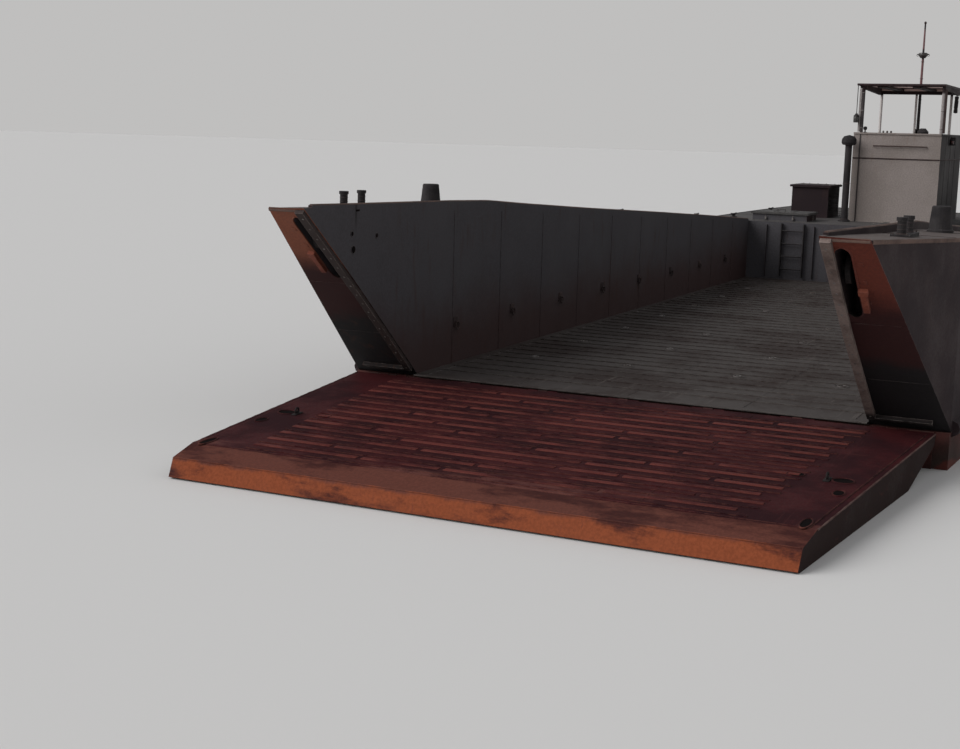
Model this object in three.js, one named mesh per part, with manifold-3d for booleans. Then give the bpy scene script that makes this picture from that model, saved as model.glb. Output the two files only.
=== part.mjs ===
// Steel landing craft with a flat bottom, an open cargo well, a hinged bow ramp and an open pilothouse aft.
// Units are millimetres. +X runs to the bow, +Y to port and +Z up.
// The origin is on the keel line at midships.
import * as THREE from "three";
import { mergeVertices } from "three/addons/utils/BufferGeometryUtils.js";
import Module from "manifold-3d";

const wasm = await Module();
wasm.setup();

// Driving dimensions of the hull
const transomX = -11000;
const wellAftX = -4450;
const sillX = 8400;
const wellDeckZ = 1370;
const deckPlate = 30;
const bottomTopZ = wellDeckZ - deckPlate;
const aftDeckZ = 2400;
const bowTopZ = 3160;
const seat = 0.3;

// Bow ramp, in its own frame: s runs from the hinge to the toe and n stands off its face
const hingeX = 8500;
const hingeZ = 1300;
const rampLength = 3720;
const rampFaceN = 58;
const treadHeight = 12;
const rampHingeHalf = 2947;
const rampToeHalf = 2600;
const rampRestDeg = -2.2;
const rampClosedDeg = 38;
const sealHeight = 40;
const sealGap = 8;
const faceN = rampFaceN + treadHeight + sealGap + sealHeight;
const pinRadius = 25;

// Running gear
const shaftY = 1350;
const shaftZ = 500;
const propX = -9150;
const propRadius = 432;
const shaftRadius = 50;
const tunnelRadius = 520;
const rudderX = -9900;
const stockRadius = 45;

// Pilothouse
const houseFrontX = -5870;
const houseDepth = 1900;
const houseHalf = 745;
const frontWallOut = 820;
const houseTopZ = 4040;
const houseFloorZ = 2950;
const roofZ = 4920;
const canopyThickness = 22;
const wallThickness = 30;
const houseBackX = houseFrontX - houseDepth;
const screenBackX = houseBackX - 850;

const degrees = (d) => (d * Math.PI) / 180;

// Finishes of the pieces, as seen in the photograph
const finishes = {
  hullGrey: { color: 0x4a4f4c, roughness: 0.75, metalness: 0.1 },
  wellGrey: { color: 0x50564f, roughness: 0.8, metalness: 0.1 },
  bottomRed: { color: 0x5b2a22, roughness: 0.85, metalness: 0.05 },
  rampRed: { color: 0x7a3324, roughness: 0.7, metalness: 0.1 },
  primerOrange: { color: 0x9a4a2a, roughness: 0.75, metalness: 0.05 },
  houseGrey: { color: 0x8d8a83, roughness: 0.7, metalness: 0.05 },
  rubber: { color: 0x1c1c1c, roughness: 0.9, metalness: 0 },
  steel: { color: 0x6b6a66, roughness: 0.5, metalness: 0.8 },
  bronze: { color: 0x9c7a3c, roughness: 0.35, metalness: 0.9 },
  canvas: { color: 0x5a3a30, roughness: 0.95, metalness: 0 },
  fittings: { color: 0x2b2d2c, roughness: 0.7, metalness: 0.2 },
};
const materials = Object.fromEntries(
  Object.entries(finishes).map(([name, f]) => [name, new THREE.MeshStandardMaterial(f)]),
);

// Solids from three.js geometry and back
function solidOf(geometry) {
  const bare = geometry.clone();
  bare.deleteAttribute("normal");
  bare.deleteAttribute("uv");
  const merged = mergeVertices(bare, 1e-3);
  return new wasm.Manifold(
    new wasm.Mesh({
      numProp: 3,
      vertProperties: merged.attributes.position.array,
      triVerts: new Uint32Array(merged.index.array),
    }),
  );
}

function geometryOf(solid) {
  const mesh = solid.getMesh();
  const geometry = new THREE.BufferGeometry();
  geometry.setAttribute("position", new THREE.BufferAttribute(mesh.vertProperties, 3));
  geometry.setIndex(new THREE.BufferAttribute(mesh.triVerts, 1));
  return geometry;
}

const join = (...solids) => solids.flat().reduce((a, b) => a.add(b));
const cut = (solid, ...tools) => tools.flat().reduce((a, b) => a.subtract(b), solid);

// Box between two corners, given as pairs for each axis
function box([x0, x1], [y0, y1], [z0, z1]) {
  const geometry = new THREE.BoxGeometry(x1 - x0, y1 - y0, z1 - z0);
  geometry.translate((x0 + x1) / 2, (y0 + y1) / 2, (z0 + z1) / 2);
  return solidOf(geometry);
}

// Round bar between two points
function bar(from, to, radius, sides = 12, endRadius = radius) {
  const a = new THREE.Vector3(...from);
  const b = new THREE.Vector3(...to);
  const along = b.clone().sub(a);
  const geometry = new THREE.CylinderGeometry(endRadius, radius, along.length(), sides);
  geometry.applyQuaternion(
    new THREE.Quaternion().setFromUnitVectors(new THREE.Vector3(0, 1, 0), along.clone().normalize()),
  );
  geometry.translate(...a.add(b).multiplyScalar(0.5).toArray());
  return solidOf(geometry);
}

// Outline in the X-Z, X-Y or Y-Z plane, carried along the third axis
const planes = {
  xz: new THREE.Matrix4().makeBasis(
    new THREE.Vector3(1, 0, 0), new THREE.Vector3(0, 0, 1), new THREE.Vector3(0, -1, 0)),
  xy: new THREE.Matrix4(),
  yz: new THREE.Matrix4().makeBasis(
    new THREE.Vector3(0, 1, 0), new THREE.Vector3(0, 0, 1), new THREE.Vector3(1, 0, 0)),
};
function plate(plane, outline, from, to) {
  const shape = outline instanceof THREE.Shape
    ? outline
    : new THREE.Shape(outline.map(([u, v]) => new THREE.Vector2(u, v)));
  const geometry = new THREE.ExtrudeGeometry(shape, {
    depth: to - from, bevelEnabled: false, curveSegments: 6,
  });
  geometry.translate(0, 0, plane === "xz" ? -to : from);
  geometry.applyMatrix4(planes[plane]);
  return solidOf(geometry);
}

// Skin over rings of equal point counts, closed at both ends; each ring runs anticlockwise seen from +X
function loft(rings) {
  const count = rings[0].length;
  const points = rings.flat();
  const triangles = [];
  for (let r = 0; r + 1 < rings.length; r++) {
    for (let i = 0; i < count; i++) {
      const j = (i + 1) % count;
      const [a, b, c, d] = [r * count + i, r * count + j, (r + 1) * count + j, (r + 1) * count + i];
      triangles.push(a, b, c, a, c, d);
    }
  }
  const cap = THREE.ShapeUtils.triangulateShape(rings[0].map(([, y, z]) => new THREE.Vector2(y, z)), []);
  const last = (rings.length - 1) * count;
  for (const [a, b, c] of cap) {
    triangles.push(a, c, b);
    triangles.push(last + a, last + b, last + c);
  }
  const geometry = new THREE.BufferGeometry();
  geometry.setAttribute("position", new THREE.Float32BufferAttribute(points.flat(), 3));
  geometry.setIndex(triangles);
  return solidOf(geometry);
}

const mirrorY = (solid) => solid.mirror([0, 1, 0]);

// Value at x on a line of named stations
function at(stations, x, key) {
  const last = stations.length - 1;
  if (x <= stations[0].x) return stations[0][key];
  for (let i = 0; i < last; i++) {
    const [a, b] = [stations[i], stations[i + 1]];
    if (x <= b.x) return a[key] + ((b[key] - a[key]) * (x - a.x)) / (b.x - a.x);
  }
  return stations[last][key];
}

// Hull lines: half beam of the side, half width of the well, half width and height of the flat bottom,
// height of the chine, of the sheer and of the coaming's rim along the well
const hullLines = [
  { x: transomX, side: 3080, inner: 2330, flat: 2700, bottom: 860, chine: 1010, sheer: aftDeckZ, rim: 2430 },
  { x: -9400, side: 3160, inner: 2330, flat: 2780, bottom: 800, chine: 960, sheer: aftDeckZ, rim: 2430 },
  { x: -8400, side: 3190, inner: 2330, flat: 2800, bottom: 560, chine: 740, sheer: aftDeckZ, rim: 2430 },
  { x: -7000, side: 3200, inner: 2330, flat: 2820, bottom: 170, chine: 400, sheer: aftDeckZ, rim: 2430 },
  { x: -5700, side: 3200, inner: 2330, flat: 2820, bottom: 0, chine: 260, sheer: aftDeckZ, rim: 2430 },
  { x: wellAftX, side: 3200, inner: 2330, flat: 2820, bottom: 0, chine: 260, sheer: aftDeckZ, rim: 2430 },
  { x: -2000, side: 3200, inner: 2330, flat: 2820, bottom: 0, chine: 260, sheer: 2545, rim: 2585 },
  { x: 1000, side: 3200, inner: 2330, flat: 2820, bottom: 0, chine: 260, sheer: 2710, rim: 2762 },
  { x: 3500, side: 3195, inner: 2330, flat: 2800, bottom: 0, chine: 270, sheer: 2840, rim: 2903 },
  { x: 5600, side: 3165, inner: 2333, flat: 2720, bottom: 0, chine: 320, sheer: 2950, rim: 3032 },
  { x: 6700, side: 3130, inner: 2334, flat: 2640, bottom: 120, chine: 450, sheer: 3020, rim: 3106 },
  { x: 7600, side: 3090, inner: 2332, flat: 2600, bottom: 340, chine: 640, sheer: 3052, rim: 3132 },
  { x: sillX, side: 3040, inner: 2325, flat: 2600, bottom: 620, chine: 860, sheer: 3072, rim: 3148 },
  { x: 9400, side: 2870, inner: 2285, flat: 2600, bottom: 620, chine: 860, sheer: 3110, rim: 3168 },
  { x: 9800, side: 2801, inner: 2272, flat: 2600, bottom: 620, chine: 860, sheer: 3126, rim: 3176 },
  { x: 10700, side: 2645, inner: 2266, flat: 2600, bottom: 620, chine: 860, sheer: bowTopZ, rim: 3196 },
  { x: 10800, side: 2628, inner: 2265, flat: 2600, bottom: 620, chine: 860, sheer: bowTopZ, rim: 3196 },
];
const stationsBetween = (from, to) => [
  from,
  ...hullLines.map((s) => s.x).filter((x) => x > from + 1 && x < to - 1),
  to,
];
const line = (x, key) => at(hullLines, x, key);

// Ring of the lower hull at x, up to a given height
function lowerRing(x, topZ) {
  const [side, flat, bottom, chine] = ["side", "flat", "bottom", "chine"].map((k) => line(x, k));
  return [
    [x, -flat, bottom], [x, flat, bottom], [x, side, chine], [x, side, topZ],
    [x, -side, topZ], [x, -side, chine],
  ];
}

// Points in the ramp's own frame, turned to an angle, as [x, z]
function rampPoint(s, n, deg) {
  const a = degrees(deg);
  return [
    hingeX + s * Math.cos(a) - n * Math.sin(a),
    hingeZ + s * Math.sin(a) + n * Math.cos(a),
  ];
}

// Solid built in the ramp's frame (X is s, Z is n) and turned to an angle about the hinge
const turned = (solid, deg) => solid.rotate([0, -deg, 0]).translate([hingeX, 0, hingeZ]);

function bottomHull() {
  const rings = stationsBetween(wellAftX + seat, sillX).map((x) => lowerRing(x, bottomTopZ));
  return loft(rings);
}

// Outline in plan from one x to another that follows a half width of the hull lines
function planOutline(from, to, key, inset) {
  const xs = stationsBetween(from, to);
  const half = (x) => line(x, key) - inset;
  return [...xs.map((x) => [x, -half(x)]), ...xs.slice().reverse().map((x) => [x, half(x)])];
}

function wellDeck() {
  const flapX = hingeX - 20;
  const flapThickness = 10;
  const barWidth = 40;
  const barHeight = 12;
  const barPitch = 300;
  const barHalf = 2230;
  const sheet = plate("xy", planOutline(wellAftX + 1, sillX, "inner", 1), bottomTopZ + seat, wellDeckZ);
  const flap = plate("xy", planOutline(sillX - 5, flapX, "inner", 1), wellDeckZ - flapThickness, wellDeckZ);
  const bars = [];
  for (let x = wellAftX + 450; x < sillX - 200; x += barPitch) {
    bars.push(box([x, x + barWidth], [-barHalf, barHalf], [wellDeckZ - 5, wellDeckZ + barHeight]));
  }
  return join(sheet, flap, bars);
}

// Half space ahead of the bow face, as a big slab
const aheadOfFace = () => {
  const reach = 6000;
  const deep = 6000;
  return turned(box([-reach, reach], [-4000, 4000], [-deep, faceN]), rampClosedDeg);
};

// Upright slot behind the bow face, with round ends
const slot = { z: [2480, 3080], y: 2352, width: 126, backX: 9560 };

// Height of the wing's deck beside the coaming
const deckCamber = 12;
const deckZ = (x) => line(x, "sheer") + deckCamber;

function wingWall() {
  const tipX = 10790;
  const coamingEndX = 10560;
  const coamingWidth = 40;
  const rings = stationsBetween(wellAftX + seat, tipX).map((x) => {
    const [side, inner, sheer, rim] = ["side", "inner", "sheer", "rim"].map((key) => line(x, key));
    return [
      [x, inner, bottomTopZ + seat], [x, side, bottomTopZ + seat], [x, side, sheer],
      [x, inner + coamingWidth, deckZ(x)], [x, inner + coamingWidth, rim], [x, inner, rim],
    ];
  });
  const round = slot.width / 2;
  const middle = slot.y + round;
  const ends = [slot.z[0] + round, slot.z[1] - round];
  const pocket = join(
    box([slot.backX, tipX + 50], [slot.y, slot.y + slot.width], ends),
    ends.map((z) => bar([slot.backX, middle, z], [tipX + 50, middle, z], round, 24)),
  );
  const ahead = box([coamingEndX, tipX + 50], [2200, 2400], [deckZ(tipX) + 1, 3300]);
  return cut(loft(rings), aheadOfFace(), pocket, ahead);
}

// Half width of the well at the point s along the bow face
const innerAtFace = (s) => line(rampPoint(s, faceN, rampClosedDeg)[0], "inner");

// Strip round the inner edge of the bow face, which the closed ramp bears on
function bowSeal() {
  const width = 75;
  const outerEdge = 2357;
  const from = 80;
  const to = 2864;
  const inset = 7;
  const depth = [faceN - sealHeight, faceN - seat];
  const steps = [from, 900, 1500, 2200, to];
  const inner = (s) => innerAtFace(s) + inset;
  const strip = plate("xy", [
    ...steps.map((s) => [s, inner(s)]),
    ...steps.slice().reverse().map((s) => [s, Math.max(inner(s) + width, outerEdge)]),
  ], ...depth);
  const foot = box([from, from + 30], [inner(from), 2900], depth);
  return turned(join(strip, foot), rampClosedDeg);
}

// Wire sheave in the slot of the bow face, on its axle
function hoistSheave() {
  const [x, z] = rampPoint(2300, faceN + 120, rampClosedDeg);
  const radius = 125;
  const middle = slot.y + slot.width / 2;
  const disc = bar([x, middle - 20, z], [x, middle + 20, z], radius, 24);
  const axle = bar([x, slot.y + seat, z], [x, slot.y + slot.width - seat, z], 30, 16);
  return join(disc, axle);
}

// Locking dog that holds the closed ramp, on a bracket of the bow face
function rampDog() {
  const y = [2484, 2558];
  const stem = box([1890, 2200], [y[0] + 12, y[1] - 12], [faceN - 34, faceN - seat]);
  const head = box([2140, 2200], y, [faceN - 38, faceN - seat]);
  return turned(join(stem, head), rampClosedDeg);
}

// Hinge knuckles along the sill, given by the middle of each
const knuckleMiddles = [-2550, -1700, -850, 0, 850, 1700, 2550];
const fixedWidth = 90;
const movingOffset = 105;
const movingWidth = 100;

function knuckle(y0, y1, radius, boreRadius, rootFrom, rootTo, rootHalf) {
  const barrel = bar([0, y0, 0], [0, y1, 0], radius, 24);
  const root = box([Math.min(rootFrom, rootTo), Math.max(rootFrom, rootTo)], [y0, y1], [-rootHalf, rootHalf]);
  return cut(join(barrel, root), bar([0, y0 - 5, 0], [0, y1 + 5, 0], boreRadius, 24));
}

function bowSill() {
  const thickness = 22;
  const sheet = box(
    [sillX + seat, sillX + thickness], [-2900, 2900], [870, hingeZ + 40]);
  const knuckles = knuckleMiddles.map((y) =>
    knuckle(y - fixedWidth / 2, y + fixedWidth / 2, 55, pinRadius + 0.4, sillX - hingeX + 5, -20, 35)
      .translate([hingeX, 0, hingeZ]));
  return join(sheet, knuckles);
}

function hingePin() {
  const end = 2640;
  return bar([hingeX, -end, hingeZ], [hingeX, end, hingeZ], pinRadius, 24);
}

const rampHalfAt = (s) => rampHingeHalf + ((rampToeHalf - rampHingeHalf) * s) / rampLength;

function rampPanel() {
  const profile = [
    [95, -45], [900, -262], [rampLength - 40, -156], [rampLength, -140],
    [rampLength - 78, 8], [rampLength - 370, rampFaceN], [60, rampFaceN],
  ];
  const girder = plate("xz", profile, -rampHingeHalf, rampHingeHalf);
  const plan = plate("xy", [
    [0, -rampHalfAt(0)], [rampLength, -rampToeHalf], [rampLength, rampToeHalf], [0, rampHalfAt(0)],
  ], -400, 200);
  const lugs = knuckleMiddles.flatMap((y) => [-1, 1].map((side) => {
    const middle = y + side * movingOffset;
    return knuckle(middle - movingWidth / 2, middle + movingWidth / 2, 52, pinRadius + 0.7, 20, 130, 35);
  }));
  return turned(join(girder.intersect(plan), lugs), rampRestDeg);
}

// Chequer plate with cross bars on the ramp's upper face
function rampTreads() {
  const from = 150;
  const to = rampLength - 385;
  const inset = 60;
  const sheetHeight = 6;
  const barPitch = 230;
  const barWidth = 36;
  const sheet = plate("xy", [
    [from, -rampHalfAt(from) + inset], [to, -rampHalfAt(to) + inset],
    [to, rampHalfAt(to) - inset], [from, rampHalfAt(from) - inset],
  ], rampFaceN + seat, rampFaceN + sheetHeight);
  const bars = [];
  for (let s = from + 120; s < to - 60; s += barPitch) {
    const half = rampHalfAt(s) - 520;
    bars.push(box([s, s + barWidth], [-half, half], [rampFaceN + 3, rampFaceN + treadHeight]));
  }
  return turned(join(sheet, bars), rampRestDeg);
}

// Half-round rubbing strake along the side, over the seam between lower hull and wing wall
function rubRail() {
  const z = 1370;
  const height = 150;
  const depth = 70;
  const rings = stationsBetween(transomX + 60, sillX - 60).map((x) => {
    const y = line(x, "side") + seat;
    return [
      [x, y, z - height / 2], [x, y + depth * 0.75, z - height / 3], [x, y + depth, z],
      [x, y + depth * 0.75, z + height / 3], [x, y, z + height / 2],
    ];
  });
  return loft(rings);
}

// Sides of the well run into this block, which carries the aft deck, the hatch coamings and the prop tunnels
const hatches = {
  engine_hatch_port: { x: [-5550, -4800], y: [1350, 2350] },
  engine_hatch_starboard: { x: [-5550, -4800], y: [-2350, -1350] },
  lazarette_hatch: { x: [-9700, -9000], y: [-350, 350] },
};
const coamingZ = aftDeckZ + 120;

// Hinge on the aft edge of a hatch: ears and pin stand on the coaming, the barrel and its tongue
// belong to the lid
const lidOver = 30;
const hatchHinge = { out: 55, up: 18, radius: 14, pin: 8, half: 24, ear: 14 };
const hingePlaces = ({ y }) => [y[0] + (y[1] - y[0]) * 0.22, y[1] - (y[1] - y[0]) * 0.22];

function hingeEars(hatch) {
  const { out, up, radius, pin, half, ear } = hatchHinge;
  const x = hatch.x[0] - out;
  const z = coamingZ + up;
  const gap = half + 2;
  return hingePlaces(hatch).map((y) => join(
    box([x - radius, hatch.x[0] + 2], [y - gap - ear, y + gap + ear], [coamingZ - 50, coamingZ - 15]),
    [y - gap - ear, y + gap].map((from) =>
      box([x - radius, x + radius], [from, from + ear], [coamingZ - 40, z + radius])),
    bar([x, y - half - 10, z], [x, y + half + 10, z], pin, 16)));
}

function hingeBarrels(hatch) {
  const { out, up, radius, pin, half } = hatchHinge;
  const x = hatch.x[0] - out;
  const z = coamingZ + up;
  return hingePlaces(hatch).map((y) => cut(
    join(
      bar([x, y - half, z], [x, y + half, z], radius, 16),
      box([x, hatch.x[0] - lidOver + 5], [y - half, y + half], [z - 10, z + 10])),
    bar([x, y - half - 5, z], [x, y + half + 5, z], pin + 0.6, 16)));
}

function sternHull() {
  const rings = stationsBetween(transomX, wellAftX).map((x) => lowerRing(x, aftDeckZ));
  const coamings = Object.values(hatches).map(({ x, y }) => box(x, y, [aftDeckZ - 20, coamingZ]));
  const tunnels = [-1, 1].flatMap((side) => [
    bar([-5400, side * shaftY, -215], [propX, side * shaftY, shaftZ], tunnelRadius, 28),
    bar([propX + 160, side * shaftY, shaftZ], [transomX - 100, side * shaftY, shaftZ], tunnelRadius, 28),
  ]);
  const trunks = [-1, 1].map((side) =>
    bar([rudderX, side * shaftY, 800], [rudderX, side * shaftY, 1250], stockRadius + 0.9, 24));
  const ears = Object.values(hatches).flatMap(hingeEars);
  return cut(join(loft(rings), coamings, ears), tunnels, trunks);
}

// Fin under each shaft, with the stern tube and the shoe that carries the rudder's foot
function skegs(hull) {
  const half = 45;
  const tubeEndX = propX + 330;
  const shoeEndX = rudderX - 120;
  const shoeTop = 50;
  const fin = plate("xz", [
    [-5500, 0], [-5500, 900], [tubeEndX, 1100], [tubeEndX, 430], [tubeEndX - 60, shoeTop],
    [shoeEndX, shoeTop], [shoeEndX, 0],
  ], shaftY - half, shaftY + half);
  const tube = bar([-7000, shaftY, shaftZ], [tubeEndX - 60, shaftY, shaftZ], 105, 24);
  const boss = bar([rudderX, shaftY, 0], [rudderX, shaftY, shoeTop], 85, 24);
  const bore = bar([tubeEndX + 500, shaftY, shaftZ], [tubeEndX - 100, shaftY, shaftZ], shaftRadius + 0.9, 24);
  const socket = bar([rudderX, shaftY, 10], [rudderX, shaftY, 80], 25.9, 24);
  return [1, -1].map((side) => {
    const blank = cut(join(fin, tube, boss), bore, socket);
    return cut(side > 0 ? blank : mirrorY(blank), hull.translate([0, 0, -seat]));
  });
}

function propeller() {
  const hubLength = 220;
  const bladeThickness = 16;
  const bladePitchDeg = 32;
  const hub = bar([propX - hubLength / 2, 0, 0], [propX + hubLength / 2, 0, 0], 85, 24, 95);
  const cone = bar([propX - hubLength / 2 - 110, 0, 0], [propX - hubLength / 2 + 5, 0, 0], 25, 24, 85);
  const shaft = bar([propX + 80, 0, 0], [propX + 780, 0, 0], shaftRadius, 24);
  const blade = new THREE.Shape();
  blade.moveTo(-60, 60);
  blade.bezierCurveTo(-190, 200, -170, propRadius - 20, 20, propRadius - 2);
  blade.bezierCurveTo(170, propRadius - 20, 150, 200, 60, 60);
  const solid = plate("yz", blade, -bladeThickness / 2, bladeThickness / 2);
  const blades = [0, 90, 180, 270].map((turn) =>
    solid.rotate([0, 0, bladePitchDeg]).rotate([turn, 0, 0]).translate([propX, 0, 0]));
  return join(hub, cone, shaft, blades).translate([0, 0, shaftZ]);
}

function rudder() {
  const blade = plate("xy", [
    [-9700, 0], [-9760, 34], [-9880, 45], [-10100, 30], [-10360, 5],
    [-10360, -5], [-10100, -30], [-9880, -45], [-9760, -34],
  ].reverse(), 80, 900);
  const stock = bar([rudderX, 0, 850], [rudderX, 0, 1240], stockRadius, 24);
  const pintle = bar([rudderX, 0, 15], [rudderX, 0, 85], 25, 24);
  return join(blade, stock, pintle).translate([0, shaftY, 0]);
}

// Pair of mooring posts on a base plate, given by their place and the sizes of the posts
function bitt(x, y, z, { spread, radius, cap, height, foot }) {
  const posts = [-spread, spread].map((dx) => join(
    bar([x + dx, y, z + 5], [x + dx, y, z + height - 15], radius, 16),
    bar([x + dx, y, z + height - 30], [x + dx, y, z + height], cap, 16)));
  const [halfLength, halfWidth] = [spread + cap + 40, cap + 30];
  const base = box([x - halfLength, x + halfLength], [y - halfWidth, y + halfWidth], [z - foot, z + 22]);
  return join(base, posts);
}
const sternBitt = { spread: 150, radius: 55, cap: 70, height: 225, foot: -seat };
const bowBitt = { spread: 170, radius: 38, cap: 47, height: 160, foot: 30 };

// Ladder from the well up to the aft deck
function wellLadder(y) {
  const half = 200;
  const rungX = wellAftX + 70;
  const rungs = [];
  for (let z = 1560; z < 2350; z += 230) rungs.push(bar([rungX, y - half, z], [rungX, y + half, z], 13, 10));
  const rails = [-half, half].map((dy) =>
    box([wellAftX + seat, wellAftX + 90], [y + dy - 8, y + dy + 8], [1420, 2380]));
  return join(rails, rungs);
}

// The front wall stands out past the starboard side as a spray board
function pilothouseFront() {
  const y = [-frontWallOut, houseHalf];
  const sheet = box([houseFrontX - wallThickness, houseFrontX], y, [aftDeckZ + seat, houseTopZ]);
  const grab = join(
    bar([houseFrontX + 45, -440, 3800], [houseFrontX + 45, 500, 3800], 11, 10),
    [-440, 30, 500].map((gy) => bar([houseFrontX - 5, gy, 3800], [houseFrontX + 45, gy, 3800], 11, 10)));
  const cap = box([houseFrontX - wallThickness, houseFrontX + 18], y, [houseTopZ - 30, houseTopZ]);
  return join(sheet, grab, cap);
}

// Side wall, run on past the back wall as a screen with a flanged after edge
function pilothouseSide() {
  const x = [screenBackX, houseFrontX - wallThickness - seat];
  const y = [houseHalf - wallThickness, houseHalf];
  return join(
    box(x, y, [aftDeckZ + seat, houseTopZ]),
    box(x, [houseHalf - wallThickness, houseHalf + 18], [houseTopZ - 30, houseTopZ]),
    box([screenBackX, screenBackX + 12], [houseHalf - 100, houseHalf - 10], [aftDeckZ + seat, houseTopZ]),
  );
}

const doorway = { y: [-670, -120], z: [houseFloorZ, houseTopZ] };
function pilothouseBack() {
  const inner = houseHalf - wallThickness - seat;
  const x = [houseBackX, houseBackX + wallThickness];
  const sheet = box(x, [-inner, inner], [aftDeckZ + seat, houseTopZ]);
  const door = box([x[0] - 10, x[1] + 10], doorway.y, [doorway.z[0] - 30, doorway.z[1] + 10]);
  const [left, right] = doorway.y;
  const step = join(
    box([x[0] - 260, x[0] + 5], [left, right], [2660, 2680]),
    [left, right - 12].map((y) => box([x[0] - 260, x[0] + 5], [y, y + 12], [2540, 2675])));
  return join(cut(sheet, door), step);
}

function pilothouseFloor() {
  const inner = houseHalf - wallThickness - seat;
  const x = [houseBackX + wallThickness + seat, houseFrontX - wallThickness - seat];
  return box(x, [-inner, inner], [houseFloorZ - 40, houseFloorZ]);
}

// Posts on the front and back walls, the beams round the roof and its two rafters
function roofFrame() {
  const front = houseFrontX - wallThickness / 2;
  const back = houseBackX + wallThickness / 2;
  const side = houseHalf - wallThickness / 2;
  const top = roofZ - canopyThickness;
  const frontUnderside = 4872;
  const backUnderside = 4790;
  const posts = [
    { x: front, y: side, radius: 29 }, { x: front, y: -690, radius: 29 },
    { x: back, y: 612, radius: 25 }, { x: back + 10, y: -40, radius: 22 }, { x: back, y: -700, radius: 25 },
  ].map(({ x, y, radius }) => bar([x, y, houseTopZ + seat], [x, y, top - 15], radius, 12));
  const sideBeam = [[back, 4776], [front, 4843], [front, top - 3], [back, top - 3]];
  const beams = [
    box([front - 32, front + 32], [-side - 30, side + 30], [frontUnderside, top]),
    box([back - 32, back + 32], [-side - 30, side + 30], [backUnderside, top]),
    ...[-side, side].map((y) => plate("xz", sideBeam, y - 27, y + 27)),
    ...[[-453, -278], [173, 331]].map((y) => box([back, front], y, [top - 45, top - 6])),
  ];
  return join(posts, beams);
}

function roofCanopy() {
  const over = 55;
  return box(
    [houseBackX - over, houseFrontX + over], [-houseHalf - over, houseHalf + 20],
    [roofZ - canopyThickness + seat, roofZ]);
}

// Lamp on a rod under the roof's forward corner
function cornerLantern() {
  const [x, y] = [houseFrontX + 45, -houseHalf - 40];
  const top = roofZ - canopyThickness;
  return join(
    bar([x, y, 4270], [x, y, top], 7, 10),
    bar([x, y, 4215], [x, y, 4345], 42, 16),
    bar([x, y, 4345], [x, y, 4385], 42, 16, 12));
}

const wheelZ = 3680;
function helmConsole() {
  const x = houseFrontX - wallThickness;
  const foot = houseFloorZ + seat;
  const body = plate("xz", [
    [x - seat, foot], [x - seat, 3900], [x - 180, 3900], [x - 420, 3760], [x - 340, foot],
  ].reverse(), -560, 560);
  const hub = bar([x - 430, 0, wheelZ], [x - 300, 0, wheelZ], 55, 16);
  const dome = join(
    bar([x - 130, 390, 3890], [x - 130, 390, 4080], 100, 20),
    bar([x - 130, 390, 4075], [x - 130, 390, 4135], 100, 20, 45));
  const bore = bar([x - 450, 0, wheelZ], [x - 330, 0, wheelZ], 15.9, 16);
  return cut(join(body, hub, dome), bore);
}

function helmWheel() {
  const x = houseFrontX - wallThickness - 480;
  const z = wheelZ;
  const radius = 230;
  const sides = 32;
  const ring = new THREE.LatheGeometry(
    Array.from({ length: 9 }, (_, i) => {
      const a = (i / 8) * 2 * Math.PI;
      return new THREE.Vector2(radius + 16 * Math.cos(a), -16 * Math.sin(a));
    }).reverse(), sides);
  ring.rotateZ(Math.PI / 2);
  ring.translate(x, 0, z);
  const spokes = [0, 60, 120].map((deg) => {
    const [dy, dz] = [Math.cos(degrees(deg)) * radius, Math.sin(degrees(deg)) * radius];
    return bar([x, -dy, z - dz], [x, dy, z + dz], 9, 8);
  });
  const hub = bar([x - 25, 0, z], [x + 40, 0, z], 42, 16);
  const shaft = bar([x, 0, z], [x + 130, 0, z], 15, 16);
  return join(solidOf(ring), spokes, hub, shaft);
}

const mastPivot = { x: houseBackX - 130, z: 4080 };
function mast() {
  const { x, z } = mastPivot;
  const pole = bar([x, 0, z - 60], [x, 0, 6180], 32, 16, 15);
  const arm = bar([x, -110, 5560], [x, 110, 5560], 10, 10);
  const lamp = join(
    bar([x, 0, 5490], [x, 0, 5540], 45, 16, 85),
    bar([x, 0, 5540], [x, 0, 5590], 85, 16, 70));
  const eye = bar([x, -32, z], [x, 32, z], 40, 16);
  return cut(join(pole, arm, lamp, eye), bar([x, -60, z], [x, 60, z], 12.9, 16));
}

function mastBracket() {
  const { x, z } = mastPivot;
  const earX = [x - 50, houseBackX - seat];
  const ears = [[-60, -40], [40, 60]].map((y) => box(earX, y, [z - 180, z + 60]));
  const back = box([houseBackX - 20, houseBackX - seat], [-60, 60], [z - 300, z - 60]);
  const pin = bar([x, -60, z], [x, 60, z], 12, 16);
  return join(ears, back, pin);
}

// Navigation light in its screen, on the wall of the pilothouse under the rim
function sideLight() {
  const x = houseFrontX - 1030;
  const y = houseHalf + seat;
  const z = [3838, 3990];
  const board = box([x - 115, x + 115], [y, y + 8], z);
  const screen = box([x - 115, x - 105], [y, y + 95], z);
  const lamp = bar([x - 48, y + 46, 3848], [x - 48, y + 46, 3945], 34, 20);
  const shelf = box([x - 110, x + 8], [y + 4, y + 90], [3838, 3852]);
  return join(board, screen, shelf, lamp);
}

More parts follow.
